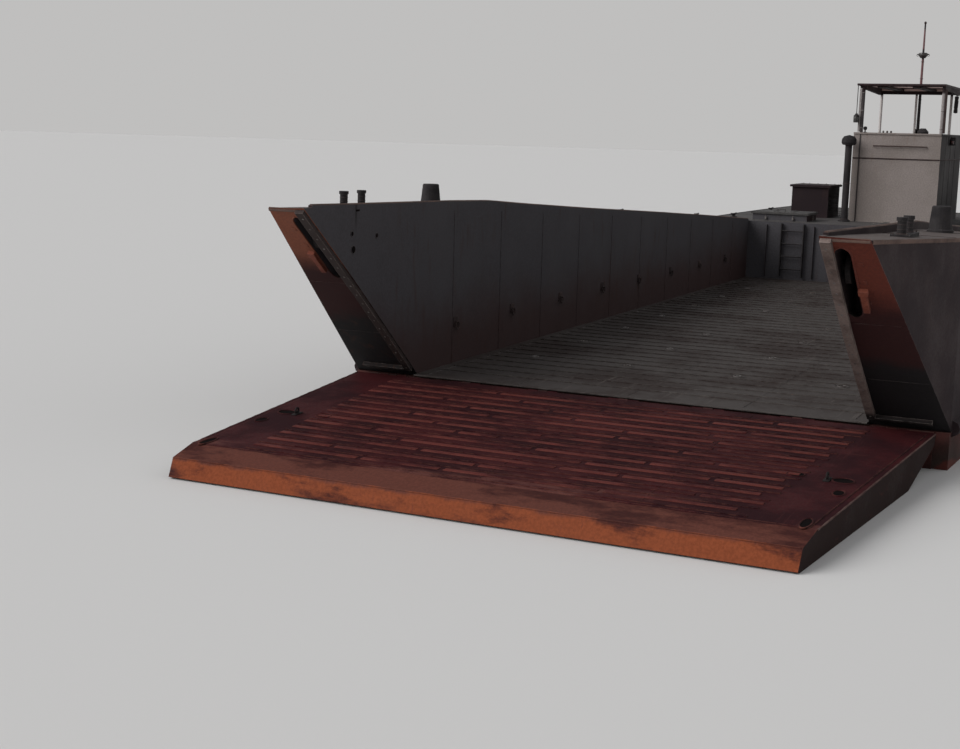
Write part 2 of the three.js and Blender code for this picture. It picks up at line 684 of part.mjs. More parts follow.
// Air intake box with louvres, on the aft deck beside the pilothouse
function engineVent() {
  const x = [-7500, -6500];
  const y = [1350, 2050];
  const top = 3000;
  const trunk = box(x, y, [aftDeckZ + seat, top]);
  const grooves = [];
  for (let z = 2520; z < top - 120; z += 90) {
    grooves.push(box([x[0] + 80, x[1] - 80], [y[1] - 25, y[1] + 10], [z, z + 50]));
    grooves.push(box([x[0] + 80, x[1] - 80], [y[0] - 10, y[0] + 25], [z, z + 50]));
  }
  const cover = box([x[0] - 40, x[1] + 40], [y[0] - 40, y[1] + 40], [top - 20, top + 20]);
  return join(cut(trunk, grooves), cover);
}

// Ventilators turned from a profile of radii and heights, standing at a point of a deck
function turnedVent(profile, x, y, z) {
  const geometry = new THREE.LatheGeometry(profile.map(([r, h]) => new THREE.Vector2(r, h)), 24);
  geometry.rotateX(Math.PI / 2);
  geometry.translate(x, y, z + seat);
  return solidOf(geometry);
}
const mushroomProfile = [
  [0, 0], [110, 0], [110, 25], [62, 40], [62, 1400], [118, 1408], [136, 1450], [130, 1510],
  [95, 1560], [0, 1585],
];
const wingVentProfile = [[0, -25], [122, -25], [122, 20], [110, 28], [88, 232], [80, 242], [0, 242]];

function hatchLid(hatch) {
  const { x, y } = hatch;
  const over = lidOver;
  const lid = box([x[0] - over, x[1] + over], [y[0] - over, y[1] + over], [coamingZ + seat, coamingZ + 35]);
  const grip = { x: [x[1] - 130, x[1] - 110], half: 80, foot: 20, top: coamingZ + 95 };
  const middle = (y[0] + y[1]) / 2;
  const handle = join(
    box(grip.x, [middle - grip.half, middle + grip.half], [grip.top - 20, grip.top]),
    [-grip.half, grip.half - grip.foot].map((dy) =>
      box(grip.x, [middle + dy, middle + dy + grip.foot], [coamingZ + 30, grip.top])));
  return join(lid, handle, hingeBarrels(hatch));
}

function sternFender() {
  const x = transomX - seat;
  return plate("yz", [[-2700, 2130], [2700, 2130], [2700, 2330], [-2700, 2330]], x - 110, x);
}

function exhaust() {
  const pipe = bar([transomX - seat, 2150, 1500], [transomX - 180, 2150, 1500], 110, 20);
  const flange = bar([transomX - seat, 2150, 1500], [transomX - 25, 2150, 1500], 160, 20);
  return cut(join(pipe, flange), bar([transomX - 30, 2150, 1500], [transomX - 200, 2150, 1500], 92, 20));
}

const craft = new THREE.Group();
function add(name, solid, finish) {
  const mesh = new THREE.Mesh(geometryOf(solid), materials[finish]);
  mesh.name = name;
  craft.add(mesh);
}

// Piece made for the port side, and its mirror image for starboard
function addPair(name, solid, finish) {
  add(name + "_port", solid, finish);
  add(name + "_starboard", mirrorY(solid), finish);
}

const stern = sternHull();
add("bottom_hull", bottomHull(), "bottomRed");
add("stern_hull", stern, "hullGrey");
add("well_deck", wellDeck(), "wellGrey");
const wing = wingWall();
const onWing = (solid) => cut(solid, wing.translate([0, 0, seat]));
const wingVentX = 7460;
const bowBittX = 9200;
addPair("wing_wall", wing, "hullGrey");
addPair("bow_seal", bowSeal(), "rubber");
addPair("hoist_sheave", hoistSheave(), "steel");
addPair("ramp_dog", rampDog(), "primerOrange");
add("bow_sill", bowSill(), "primerOrange");
add("ramp_hinge_pin", hingePin(), "steel");
add("ramp_panel", rampPanel(), "rampRed");
add("ramp_treads", rampTreads(), "rampRed");
addPair("rub_rail", rubRail(), "hullGrey");
skegs(stern).forEach((solid, i) => add(["skeg_port", "skeg_starboard"][i], solid, "bottomRed"));
addPair("propeller", propeller().translate([0, shaftY, 0]), "bronze");
addPair("rudder", rudder(), "bottomRed");
addPair("bow_bitt", onWing(bitt(bowBittX, 2650, deckZ(bowBittX), bowBitt)), "fittings");
addPair("wing_vent", onWing(turnedVent(wingVentProfile, wingVentX, 2690, deckZ(wingVentX))), "fittings");
addPair("stern_bitt", bitt(-10350, 2650, aftDeckZ, sternBitt), "fittings");
addPair("well_ladder", wellLadder(1500), "fittings");
add("pilothouse_front", pilothouseFront(), "houseGrey");
addPair("pilothouse_side", pilothouseSide(), "houseGrey");
add("pilothouse_back", pilothouseBack(), "houseGrey");
add("pilothouse_floor", pilothouseFloor(), "houseGrey");
add("roof_frame", roofFrame(), "houseGrey");
add("roof_canopy", roofCanopy(), "canvas");
add("corner_lantern", cornerLantern(), "fittings");
add("helm_console", helmConsole(), "fittings");
add("helm_wheel", helmWheel(), "fittings");
add("mast", mast(), "fittings");
add("mast_bracket", mastBracket(), "fittings");
addPair("side_light", sideLight(), "fittings");
addPair("engine_vent", engineVent(), "hullGrey");
add("mushroom_vent", turnedVent(mushroomProfile, -5665, -855, aftDeckZ), "fittings");
for (const [name, hatch] of Object.entries(hatches)) add(name, hatchLid(hatch), "hullGrey");
add("stern_fender", sternFender(), "rubber");
addPair("exhaust", exhaust(), "steel");

export default craft;
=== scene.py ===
import math

import bmesh
import bpy
import numpy as np
from mathutils import Matrix, Vector
from mathutils.bvhtree import BVHTree


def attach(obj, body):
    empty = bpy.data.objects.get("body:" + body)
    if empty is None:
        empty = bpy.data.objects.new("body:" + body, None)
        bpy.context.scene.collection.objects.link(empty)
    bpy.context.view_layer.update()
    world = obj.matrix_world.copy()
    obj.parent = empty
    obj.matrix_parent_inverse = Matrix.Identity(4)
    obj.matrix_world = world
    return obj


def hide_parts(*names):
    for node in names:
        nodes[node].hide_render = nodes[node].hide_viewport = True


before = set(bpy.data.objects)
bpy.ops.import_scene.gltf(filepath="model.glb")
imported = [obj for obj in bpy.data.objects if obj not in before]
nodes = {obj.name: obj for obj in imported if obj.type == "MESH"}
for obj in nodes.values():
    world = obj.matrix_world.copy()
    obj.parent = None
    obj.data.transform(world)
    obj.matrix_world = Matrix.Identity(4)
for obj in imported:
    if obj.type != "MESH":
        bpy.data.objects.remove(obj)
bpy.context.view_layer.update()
print("frame loaded,", len(nodes), "nodes")

# Camera, solved from the corners of the ramp, the bow faces and the pilothouse
cameraSetup = {
    "place": (21.594, 4.641, 3.881),
    "heading": 205.297,   # degrees, from +X towards +Y
    "pitch": -9.54,
    "roll": 1.467,
    "focalPixels": 1447.1,
    "imageWidth": 960,
    "sensorWidth": 36.0,
    "clipEnd": 1000,
}


def makeCamera(setup):
    heading, pitch, roll = (math.radians(setup[key]) for key in ("heading", "pitch", "roll"))
    forward = Vector((
        math.cos(heading) * math.cos(pitch), math.sin(heading) * math.cos(pitch), math.sin(pitch)))
    level = forward.cross(Vector((0, 0, 1))).normalized()
    above = level.cross(forward)
    right = level * math.cos(roll) + above * math.sin(roll)
    up = above * math.cos(roll) - level * math.sin(roll)
    data = bpy.data.cameras.new("viewCamera")
    data.sensor_width = setup["sensorWidth"]
    data.sensor_fit = "HORIZONTAL"
    data.lens = setup["focalPixels"] * setup["sensorWidth"] / setup["imageWidth"]
    data.clip_end = setup["clipEnd"]
    camera = bpy.data.objects.new("viewCamera", data)
    turn = Matrix((right, up, -forward)).transposed()
    camera.matrix_world = Matrix.Translation(Vector(setup["place"])) @ turn.to_4x4()
    bpy.context.scene.collection.objects.link(camera)
    bpy.context.scene.camera = camera


makeCamera(cameraSetup)
print("camera placed")

# Mesh helpers. A part is a pair of arrays: points (N, 3) and four-cornered faces (M, 4)
endScale = 1e-4     # of a ring that is drawn in to close an end
mergeReach = 2e-5   # points nearer than this become one


# Faces of a grid of points, row after row; either way round can close on itself
def gridFaces(rows, columns, closeRows=False, closeColumns=False):
    i = np.arange(rows if closeRows else rows - 1)[:, None]
    j = np.arange(columns if closeColumns else columns - 1)[None, :]
    nextRow, nextColumn = (i + 1) % rows, (j + 1) % columns
    corners = [i * columns + j, i * columns + nextColumn,
               nextRow * columns + nextColumn, nextRow * columns + j]
    return np.stack([np.broadcast_to(c, (i.size, j.size)).ravel() for c in corners], axis=1)


# Vectors divided by their own length
def unit(vectors):
    return vectors / np.maximum(np.linalg.norm(vectors, axis=-1, keepdims=True), 1e-12)


# Profile (M, 2) carried along a path (P, 3): point = path + side * u * scale + above * v * scale.
# Path points that stand still, such as the closed ends, take their neighbour's direction
def sweep(profile, path, up=(0, 0, 1), scales=None, closed=False):
    path, profile = np.asarray(path, float), np.asarray(profile, float)
    if closed:
        tangent = np.roll(path, -1, axis=0) - np.roll(path, 1, axis=0)
    else:
        tangent = np.gradient(path, axis=0)
    tangent = unit(tangent)
    for row in range(1, len(path)):
        if np.linalg.norm(tangent[row]) < 0.5:
            tangent[row] = tangent[row - 1]
    if np.linalg.norm(tangent[0]) < 0.5:
        tangent[0] = tangent[1]
    side = unit(np.cross(tangent, np.asarray(up, float)))
    above = np.cross(side, tangent)
    scale = np.ones(len(path)) if scales is None else np.asarray(scales, float)
    uv = profile[None, :, :] * scale[:, None, None]
    points = path[:, None, :] + side[:, None, :] * uv[..., :1] + above[:, None, :] * uv[..., 1:]
    return points.reshape(-1, 3), gridFaces(len(path), len(profile), closed, True)


# Points of a circle: r cos a, r sin a
def circle(radius, sides):
    angle = np.arange(sides) * 2 * np.pi / sides
    return np.stack([radius * np.cos(angle), radius * np.sin(angle)], axis=1)


# Round bar along a path with domed ends: the end rings shrink to a point along a quarter circle
def rod(path, radius, sides=8, up=(0, 0, 1)):
    path = np.asarray(path, float)
    first, last = unit(path[1] - path[0]), unit(path[-1] - path[-2])
    dome = np.radians([90, 60, 30])
    start = path[0] + first * radius * (1 - np.sin(dome))[:, None]
    end = path[-1] - last * radius * (1 - np.sin(dome[::-1]))[:, None]
    inner = path[1:-1]
    whole = np.concatenate([start, [path[0] + first * radius], inner, [path[-1] - last * radius], end])
    scales = np.concatenate([np.cos(dome), np.ones(len(inner) + 2), np.cos(dome[::-1])])
    return sweep(circle(radius, sides), whole, up, np.maximum(scales, endScale / 10))


# Strip with a given profile along a path, its ends drawn in so that they close
def strip(profile, path, up=(0, 0, 1)):
    path = np.asarray(path, float)
    whole = np.concatenate([path[:1], path, path[-1:]])
    return sweep(profile, whole, up, np.concatenate([[endScale], np.ones(len(path)), [endScale]]))


# Torus round Z: (R + r cos b) (cos a, sin a), r sin b
def ring(radius, thickness, rows=24, sides=8):
    a = np.arange(rows)[:, None] * 2 * np.pi / rows
    b = np.arange(sides)[None, :] * 2 * np.pi / sides
    reach = radius + thickness * np.cos(b)
    points = np.stack([reach * np.cos(a), reach * np.sin(a), thickness * np.sin(b) + 0 * a], axis=-1)
    return points.reshape(-1, 3), gridFaces(rows, sides, True, True)


# Profile of (radius, height) turned round Z: (r cos a, r sin a, h)
def lathe(profile, sides=16):
    profile = np.asarray(profile, float)
    a = np.arange(sides) * 2 * np.pi / sides
    points = np.stack([
        profile[:, :1] * np.cos(a), profile[:, :1] * np.sin(a),
        np.repeat(profile[:, 1:], sides, axis=1)], axis=-1)
    return points.reshape(-1, 3), gridFaces(len(profile), sides, False, True)


# Flat round plate from one height to another
def disc(radius, top, sides, foot=0.0):
    return lathe([(0, foot), (radius, foot), (radius, top), (0, top)], sides)


# Rounded block about its middle: a rounded rectangle in X-Y whose rings draw in towards both ends
def block(size, edge=0.004, corner=3):
    sx, sy, sz = (value / 2 for value in size)
    edge = min(edge, sx * 0.9, sy * 0.9, sz * 0.9)
    turn = np.radians(np.linspace(0, 90, corner))
    quarter = np.concatenate([turn, turn + np.pi / 2, turn + np.pi, turn + 1.5 * np.pi])
    cx = np.repeat([1, -1, -1, 1], corner) * (sx - edge)
    cy = np.repeat([1, 1, -1, -1], corner) * (sy - edge)
    rise = np.radians([90, 90, 45, 0])
    rows = []
    for sign in (-1, 1):
        for k, angle in enumerate(rise):
            pull = 0 if k == 0 else 1
            x = (cx + edge * np.cos(quarter) * np.cos(angle)) * pull
            y = (cy + edge * np.sin(quarter) * np.cos(angle)) * pull
            z = np.full(len(quarter), sign * (sz - edge + edge * np.sin(angle)))
            rows.append(np.stack([x, y, z], axis=1))
    rows = rows[:4] + rows[4:][::-1]
    return np.concatenate(rows), gridFaces(8, len(quarter), False, True)


def turnAbout(axis, degrees):
    return np.array(Matrix.Rotation(math.radians(degrees), 3, axis))


# The part scaled, then turned, then carried to its place
def moved(part, place=(0, 0, 0), turn=None, scale=(1, 1, 1)):
    points = part[0] * np.asarray(scale, float)
    if turn is not None:
        points = points @ np.asarray(turn, float).T
    return points + np.asarray(place, float), part[1]


def slab(size, place, turn=None, edge=0.004):
    return moved(block(size, edge), place, turn)


def hoop(radius, thickness, place, turn=None, rows=28, sides=8):
    return moved(ring(radius, thickness, rows, sides), place, turn)


# The part at every one of the places (K, 3), as one part
def copies(part, places):
    points, faces = part
    places = np.asarray(places, float).reshape(-1, 3)
    allPoints = (places[:, None, :] + points[None, :, :]).reshape(-1, 3)
    offsets = (np.arange(len(places)) * len(points))[:, None, None]
    return allPoints, (faces[None] + offsets).reshape(-1, 4)


def mirrored(part):
    return part[0] * [1, -1, 1], part[1][:, ::-1]


def bothSides(parts):
    return parts + [mirrored(part) for part in parts]


def joined(parts):
    starts = np.cumsum([0] + [len(points) for points, _ in parts])
    return (np.concatenate([points for points, _ in parts]),
            np.concatenate([faces + start for (_, faces), start in zip(parts, starts)]))


# Bolt with a flat six-sided head on a round washer, standing on Z = 0
def bolt(size, height):
    washer = disc(size * 0.8, height * 0.25, 12)
    head = lathe([(0, 0), (size * 0.55, 0), (size * 0.55, height * 0.85),
                  (size * 0.46, height), (0, height)], 6)
    return joined([washer, head])


# The bolt at even steps round a centre: (a cos t, b sin t) in the Y-Z plane, or in X-Y where flat
def boltRing(head, centre, radii, count, flat=False, start=0.0):
    angle = start + np.arange(count) * 2 * np.pi / count
    out = np.stack([radii[0] * np.cos(angle), radii[1] * np.sin(angle), 0 * angle], axis=1)
    return copies(head, np.asarray(centre, float) + (out if flat else np.roll(out, 1, axis=1)))


# Bead of weld: a half-round strip whose height and path waver by two slow waves and one quick one
weldLook = {"step": 0.05, "most": 90, "waves": ((0.16, 41, 0.0), (0.10, 17, 1.3), (0.06, 95, 0.0))}


def weld(start, end, radius=0.006, up=(0, 0, 1)):
    start, end = np.asarray(start, float), np.asarray(end, float)
    length = np.linalg.norm(end - start)
    share = np.linspace(0, 1, int(max(4, min(weldLook["most"], length / weldLook["step"]))))
    path = start + (end - start) * share[:, None]
    swell = 1 + sum(size * np.sin(share * length * rate + phase)
                    for size, rate, phase in weldLook["waves"])
    scales = np.concatenate([[endScale], swell, [endScale]])
    return sweep(circle(radius, 6), np.concatenate([path[:1], path, path[-1:]]), up, scales)


# Where a ray first meets a CAD node
surfaces = {}


def landing(name, start, direction):
    if name not in surfaces:
        mesh = nodes[name].data
        surfaces[name] = BVHTree.FromPolygons(
            [vertex.co for vertex in mesh.vertices], [face.vertices for face in mesh.polygons])
    return np.array(surfaces[name].ray_cast(Vector(start), Vector(direction))[0])


# Parts joined into one finished piece, which rides on a body and has a finish and a material slot
def makePiece(name, parts, paint, body="hull", sharp=35):
    points, faces = joined(parts)
    mesh = bpy.data.meshes.new(name)
    mesh.from_pydata(points.tolist(), [], faces.tolist())
    shape = bmesh.new()
    shape.from_mesh(mesh)
    bmesh.ops.remove_doubles(shape, verts=shape.verts, dist=mergeReach)
    bmesh.ops.recalc_face_normals(shape, faces=shape.faces)
    shape.to_mesh(mesh)
    shape.free()
    mesh.polygons.foreach_set("use_smooth", np.ones(len(mesh.polygons), bool))
    mesh.set_sharp_from_angle(angle=math.radians(sharp))
    mesh.materials.append(paints[paint])
    piece = bpy.data.objects.new(name, mesh)
    bpy.context.scene.collection.objects.link(piece)
    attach(piece, body)
    return piece


# Shader helpers. A node has its settings, and its inputs are values, colours or sockets to link
def addNode(tree, kind, inputs=None, **settings):
    node = tree.nodes.new("ShaderNode" + kind)
    for key, value in settings.items():
        setattr(node, key, value)
    for key, value in (inputs or {}).items():
        if isinstance(value, bpy.types.NodeSocket):
            tree.links.new(value, node.inputs[key])
        else:
            solid = node.inputs[key].type == "RGBA"
            node.inputs[key].default_value = (*value, 1.0) if solid else value
    return node


def maths(tree, operation, first, second=0.0):
    return addNode(tree, "Math", {0: first, 1: second}, operation=operation).outputs[0]


def times(tree, first, second):
    return maths(tree, "MULTIPLY", first, second)


def plus(tree, first, second):
    return maths(tree, "ADD", first, second)


def minus(tree, first, second):
    return maths(tree, "SUBTRACT", first, second)


def vectorMaths(tree, operation, first, second):
    return addNode(tree, "VectorMath", {0: first, 1: second}, operation=operation).outputs


def remap(tree, value, low, high, outLow=0.0, outHigh=1.0):
    return addNode(tree, "MapRange", {
        "Value": value, "From Min": low, "From Max": high, "To Min": outLow, "To Max": outHigh},
        interpolation_type="SMOOTHSTEP").outputs["Result"]


def mixed(tree, factor, first, second, blend="MIX"):
    return addNode(tree, "Mix", {0: factor, 6: first, 7: second},
                   data_type="RGBA", blend_type=blend).outputs[2]


def noise(tree, place, scale, detail=4.0, roughness=0.55):
    return addNode(tree, "TexNoise", {
        "Vector": place, "Scale": scale, "Detail": detail, "Roughness": roughness}).outputs[0]


# Noise drawn out by a factor along each axis
def drawnNoise(tree, place, factors, detail, roughness):
    return noise(tree, vectorMaths(tree, "MULTIPLY", place, factors)[0], 1.0, detail, roughness)


def axisParts(tree, vector):
    return addNode(tree, "SeparateXYZ", {0: vector}).outputs


def coordinates(tree, kind):
    return addNode(tree, "TexCoord").outputs[kind]


# Mask of the faces whose own normal points along the axis
def facing(tree, axis, low=0.55, high=0.75):
    along = vectorMaths(tree, "DOT_PRODUCT", coordinates(tree, "Normal"), axis)["Value"]
    return remap(tree, along, low, high)


# The colour with a fine grain laid over it: brighter and darker by a factor
def grained(tree, colour, level):
    grey = addNode(tree, "CombineColor", {0: level, 1: level, 2: level}).outputs[0]
    return mixed(tree, 1.0, colour, grey, "MULTIPLY")


def bumped(tree, shader, height, strength=1.0):
    bump = addNode(tree, "Bump", {"Height": height, "Strength": strength, "Distance": 1.0})
    tree.links.new(bump.outputs[0], shader.inputs["Normal"])


def newMaterial(name):
    material = bpy.data.materials.new(name)
    material.use_nodes = True
    return material, material.node_tree, material.node_tree.nodes["Principled BSDF"]


# Shared effects. Each group takes the place on the piece and a few amounts with their usual values
def newGroup(name, amounts, outputs):
    tree = bpy.data.node_groups.new(name, "ShaderNodeTree")
    tree.interface.new_socket(name="Place", in_out="INPUT", socket_type="NodeSocketVector")
    for label, value in amounts.items():
        socket = tree.interface.new_socket(name=label, in_out="INPUT", socket_type="NodeSocketFloat")
        socket.default_value = value
    for label in outputs:
        tree.interface.new_socket(name=label, in_out="OUTPUT", socket_type="NodeSocketFloat")
    return tree, tree.nodes.new("NodeGroupInput").outputs, tree.nodes.new("NodeGroupOutput").inputs


def useGroup(tree, name, **inputs):
    return addNode(tree, "Group", inputs, node_tree=groups[name]).outputs


# Cloudy patches of a second shade, and a fine grain in the paint
def blotchGroup():
    tree, given, out = newGroup("blotches", {"Scale": 0.6, "Cover": 0.5}, ["Mask", "Grain"])
    soft = 0.11   # half the width of a patch's edge
    clouds = noise(tree, given["Place"], given["Scale"], 7, 0.62)
    edge = minus(tree, 0.72, times(tree, given["Cover"], 0.4))
    patches = remap(tree, clouds, minus(tree, edge, soft), plus(tree, edge, soft))
    tree.links.new(patches, out["Mask"])
    tree.links.new(noise(tree, given["Place"], 46, 5, 0.6), out["Grain"])
    return tree


# Streaks that run down a wall: noise drawn out along Z, in some places more than in others
def runGroup():
    tree, given, out = newGroup("rustRuns", {"Width": 9.0, "Length": 0.5, "Amount": 0.5}, ["Mask"])
    factors = addNode(tree, "CombineXYZ", {
        "X": given["Width"], "Y": given["Width"], "Z": maths(tree, "DIVIDE", 1.0, given["Length"])})
    lines = drawnNoise(tree, given["Place"], factors.outputs[0], 4, 0.6)
    where = noise(tree, given["Place"], 0.55, 3, 0.5)
    gate = remap(tree, plus(tree, where, times(tree, given["Amount"], 0.25)), 0.55, 0.75)
    tree.links.new(times(tree, remap(tree, lines, 0.52, 0.72), gate), out["Mask"])
    return tree


# Paint worn off along edges and chipped away in small spots
def chipGroup():
    tree, given, out = newGroup("chips", {"Reach": 0.012, "Edges": 0.6, "Spots": 0.3}, ["Edge", "Spot"])
    rounded = addNode(tree, "Bevel", {"Radius": given["Reach"]}, samples=4).outputs[0]
    face = addNode(tree, "NewGeometry").outputs["Normal"]
    dot = vectorMaths(tree, "DOT_PRODUCT", rounded, face)["Value"]
    bend = remap(tree, minus(tree, 1.0, dot), 0.01, 0.22)
    broken = noise(tree, given["Place"], 11, 6, 0.65)
    ragged = times(tree, bend, remap(tree, broken, 0.38, 0.6))
    tree.links.new(times(tree, ragged, given["Edges"]), out["Edge"])
    spots = noise(tree, given["Place"], 19, 8, 0.72)
    low = minus(tree, 0.76, times(tree, given["Spots"], 0.14))
    tree.links.new(remap(tree, spots, low, plus(tree, low, 0.035)), out["Spot"])
    return tree


# Plating that has drawn in between its frames: a wave along X with slow dents
def plateGroup():
    tree, given, out = newGroup("plating", {"Pitch": 0.6}, ["Height"])
    phase = maths(tree, "DIVIDE", axisParts(tree, given["Place"])["X"], given["Pitch"])
    wave = maths(tree, "SINE", times(tree, phase, 2 * math.pi))
    dents = noise(tree, given["Place"], 0.9, 2, 0.4)
    tree.links.new(plus(tree, times(tree, wave, 0.18), dents), out["Height"])
    return tree


# Scratches that traffic leaves along X and across it
def scuffGroup():
    tree, given, out = newGroup("scuffs", {"Amount": 0.5}, ["Mask"])
    along = drawnNoise(tree, given["Place"], (0.7, 26, 8), 5, 0.7)
    across = drawnNoise(tree, given["Place"], (22, 1.1, 8), 5, 0.7)
    both = maths(tree, "MAXIMUM", remap(tree, along, 0.56, 0.72), remap(tree, across, 0.6, 0.74))
    where = remap(tree, noise(tree, given["Place"], 1.3, 4, 0.6), 0.4, 0.62)
    tree.links.new(times(tree, times(tree, both, where), given["Amount"]), out["Mask"])
    return tree


# Chequer plate: short raised lugs in a woven order, from two crossed waves
def lugGroup():
    tree, given, out = newGroup("lugPlate", {"Pitch": 0.03}, ["Height"])
    parts = axisParts(tree, given["Place"])
    turns = maths(tree, "DIVIDE", 2 * math.pi, given["Pitch"])
    diagonals = [times(tree, maths(tree, sign, parts["X"], parts["Y"]), turns)
                 for sign in ("ADD", "SUBTRACT")]
    lugs = []
    for lengthwise, across in (diagonals, diagonals[::-1]):
        slow = maths(tree, "COSINE", times(tree, lengthwise, 0.5))
        quick = maths(tree, "COSINE", across)
        lugs.append(remap(tree, times(tree, slow, quick), 0.45, 0.7))
    tree.links.new(maths(tree, "MAXIMUM", *lugs), out["Height"])
    return tree


# Dirty band along the waterline with a ragged upper edge, and the bottom below it
def tideGroup():
    tree, given, out = newGroup("tideMark", {"Level": 1.0, "Height": 0.3}, ["Band", "Below"])
    rough = drawnNoise(tree, given["Place"], (2.2, 2.2, 0.8), 6, 0.65)
    ragged = times(tree, minus(tree, rough, 0.5), 0.5)
    height = plus(tree, minus(tree, axisParts(tree, given["Place"])["Z"], given["Level"]), ragged)
    tree.links.new(remap(tree, height, given["Height"], 0.0), out["Band"])
    tree.links.new(remap(tree, height, 0.06, 0.02), out["Below"])
    return tree


groups = {
    "blotches": blotchGroup(), "runs": runGroup(), "chips": chipGroup(), "plating": plateGroup(),
    "scuffs": scuffGroup(), "lugs": lugGroup(), "tide": tideGroup(),
}

# What a paint has where its own look says nothing else
usualLook = {
    "rust": (0.105, 0.042, 0.022), "bare": (0.19, 0.175, 0.165),
    "patchScale": 0.7, "patchCover": 0.5, "tide": 0.0, "runs": 0.0, "runWidth": 9.0,
    "runLength": 0.5, "scuffs": 0.0, "edges": 0.6, "edgeReach": 0.012, "spots": 0.3,
    "sheen": 0.14, "roughness": 0.7, "grainDepth": 0.0006, "plates": 0.0, "lugPitch": 0.0,
}
sharedLook = {
    "tideColour": (0.035, 0.03, 0.026), "bottom": (0.10, 0.028, 0.022), "tideHeight": 0.34,
    "tideCover": 0.7, "runCover": 0.75, "grain": (0.84, 1.12), "spotDepth": 0.0008,
    "plateDepth": 0.012, "lugDepth": 0.002,
}


# Weathered paint on steel. colourAt may lay other colours over the paint by place
def metalPaint(name, look, colourAt=None):
    look = {**usualLook, **sharedLook, **look}
    material, tree, shader = newMaterial(name)
    place = coordinates(tree, "Object")
    patches = useGroup(tree, "blotches", Place=place, Scale=look["patchScale"], Cover=look["patchCover"])
    colour = mixed(tree, patches["Mask"], look["paint"], look["shade"])
    if colourAt:
        colour = colourAt(tree, place, colour)
    if look["tide"]:
        tide = useGroup(tree, "tide", Place=place, Level=look["tide"], Height=look["tideHeight"])
        band = times(tree, tide["Band"], look["tideCover"])
        colour = mixed(tree, band, colour, look["tideColour"])
        colour = mixed(tree, tide["Below"], colour, look["bottom"])
    if look["runs"]:
        runs = useGroup(tree, "runs", Place=place, Width=look["runWidth"],
                        Length=look["runLength"], Amount=look["runs"])["Mask"]
        cover = times(tree, runs, min(look["runs"], look["runCover"]))
        colour = mixed(tree, cover, colour, look["rust"])
    if look["scuffs"]:
        scuffs = useGroup(tree, "scuffs", Place=place, Amount=look["scuffs"])["Mask"]
        colour = mixed(tree, scuffs, colour, look["scuffColour"])
    colour = grained(tree, colour, remap(tree, patches["Grain"], 0.3, 0.7, *look["grain"]))
    chips = useGroup(tree, "chips", Place=place, Reach=look["edgeReach"], Edges=look["edges"],
                     Spots=look["spots"])
    colour = mixed(tree, chips["Spot"], colour, look["rust"])
    colour = mixed(tree, chips["Edge"], colour, look["bare"])
    tree.links.new(colour, shader.inputs["Base Color"])
    shader.inputs["Specular IOR Level"].default_value = look["sheen"]
    uneven = plus(tree, patches["Grain"], times(tree, patches["Mask"], 0.3))
    rough = remap(tree, uneven, 0.3, 0.9, look["roughness"] - 0.1, look["roughness"] + 0.12)
    tree.links.new(rough, shader.inputs["Roughness"])
    height = times(tree, patches["Grain"], look["grainDepth"])
    height = minus(tree, height, times(tree, chips["Spot"], look["spotDepth"]))
    if look["plates"]:
        plates = useGroup(tree, "plating", Place=place, Pitch=look["plates"])["Height"]
        height = plus(tree, height, times(tree, plates, look["plateDepth"]))
    if look["lugPitch"]:
        lugs = useGroup(tree, "lugs", Place=place, Pitch=look["lugPitch"])["Height"]
        onTop = times(tree, lugs, facing(tree, (0, 0, 1)))
        height = plus(tree, height, times(tree, onTop, look["lugDepth"]))
    bumped(tree, shader, height)
    return material


# Colours of the bow wings by place: walls of the well, raked face, deck and outer side. On the raked
# face the starboard side is painted brighter as painted light, and the face is painted darker below
# its top as painted shade
wingColours = {
    "wall": (0.070, 0.066, 0.072), "wallLow": (0.054, 0.033, 0.032),
    "faceHigh": (0.135, 0.036, 0.025), "faceMiddleShade": (0.040, 0.015, 0.015),
    "faceLowShade": (0.018, 0.016, 0.017), "deck": (0.105, 0.086, 0.080),
    "faceStarboardLit": (0.230, 0.080, 0.048), "stain": (0.022, 0.018, 0.019),
    "stainX": 9.776, "stainZ": (2.88, 3.11), "hinge": (8.5, 0, 1.3), "faceOffset": 0.118,
    "rakeDeg": 38.0,
}


def wingColour(tree, place, colour):
    look = wingColours
    x, y, z = axisParts(tree, place)
    normalY = axisParts(tree, coordinates(tree, "Normal"))["Y"]
    inward = times(tree, times(tree, normalY, -1.0), maths(tree, "SIGN", y))
    patch = noise(tree, place, 1.6, 6, 0.65)
    low = remap(tree, plus(tree, z, times(tree, patch, 0.7)), 2.75, 1.85)
    wall = mixed(tree, low, look["wall"], look["wallLow"])
    off = maths(tree, "ABSOLUTE", minus(tree, x, look["stainX"]))
    streak = times(tree, remap(tree, off, 0.034, 0.006), remap(tree, z, *look["stainZ"]))
    wall = mixed(tree, times(tree, streak, 0.75), wall, look["stain"])
    colour = mixed(tree, remap(tree, inward, 0.6, 0.8), colour, wall)
    rake = math.radians(look["rakeDeg"])
    outward = (-math.sin(rake), 0, math.cos(rake))   # from the raked face
    away = vectorMaths(tree, "DOT_PRODUCT", place, outward)["Value"]
    offFace = minus(tree, away, float(np.dot(look["hinge"], outward)))
    onFace = remap(tree, offFace, look["faceOffset"] + 0.006, look["faceOffset"] + 0.002)
    uneven = plus(tree, z, times(tree, patch, 0.35))
    # painted light: the starboard half of the raked face is brighter
    high = mixed(tree, remap(tree, y, 0.5, -0.5), look["faceHigh"], look["faceStarboardLit"])
    # painted shade: the raked face is darker below its top, darkest towards its foot
    face = mixed(tree, remap(tree, uneven, 2.66, 2.96), look["faceMiddleShade"], high)
    face = mixed(tree, remap(tree, uneven, 2.3, 2.12), face, look["faceLowShade"])
    colour = mixed(tree, onFace, colour, face)
    return mixed(tree, facing(tree, (0, 0, 1)), colour, look["deck"])
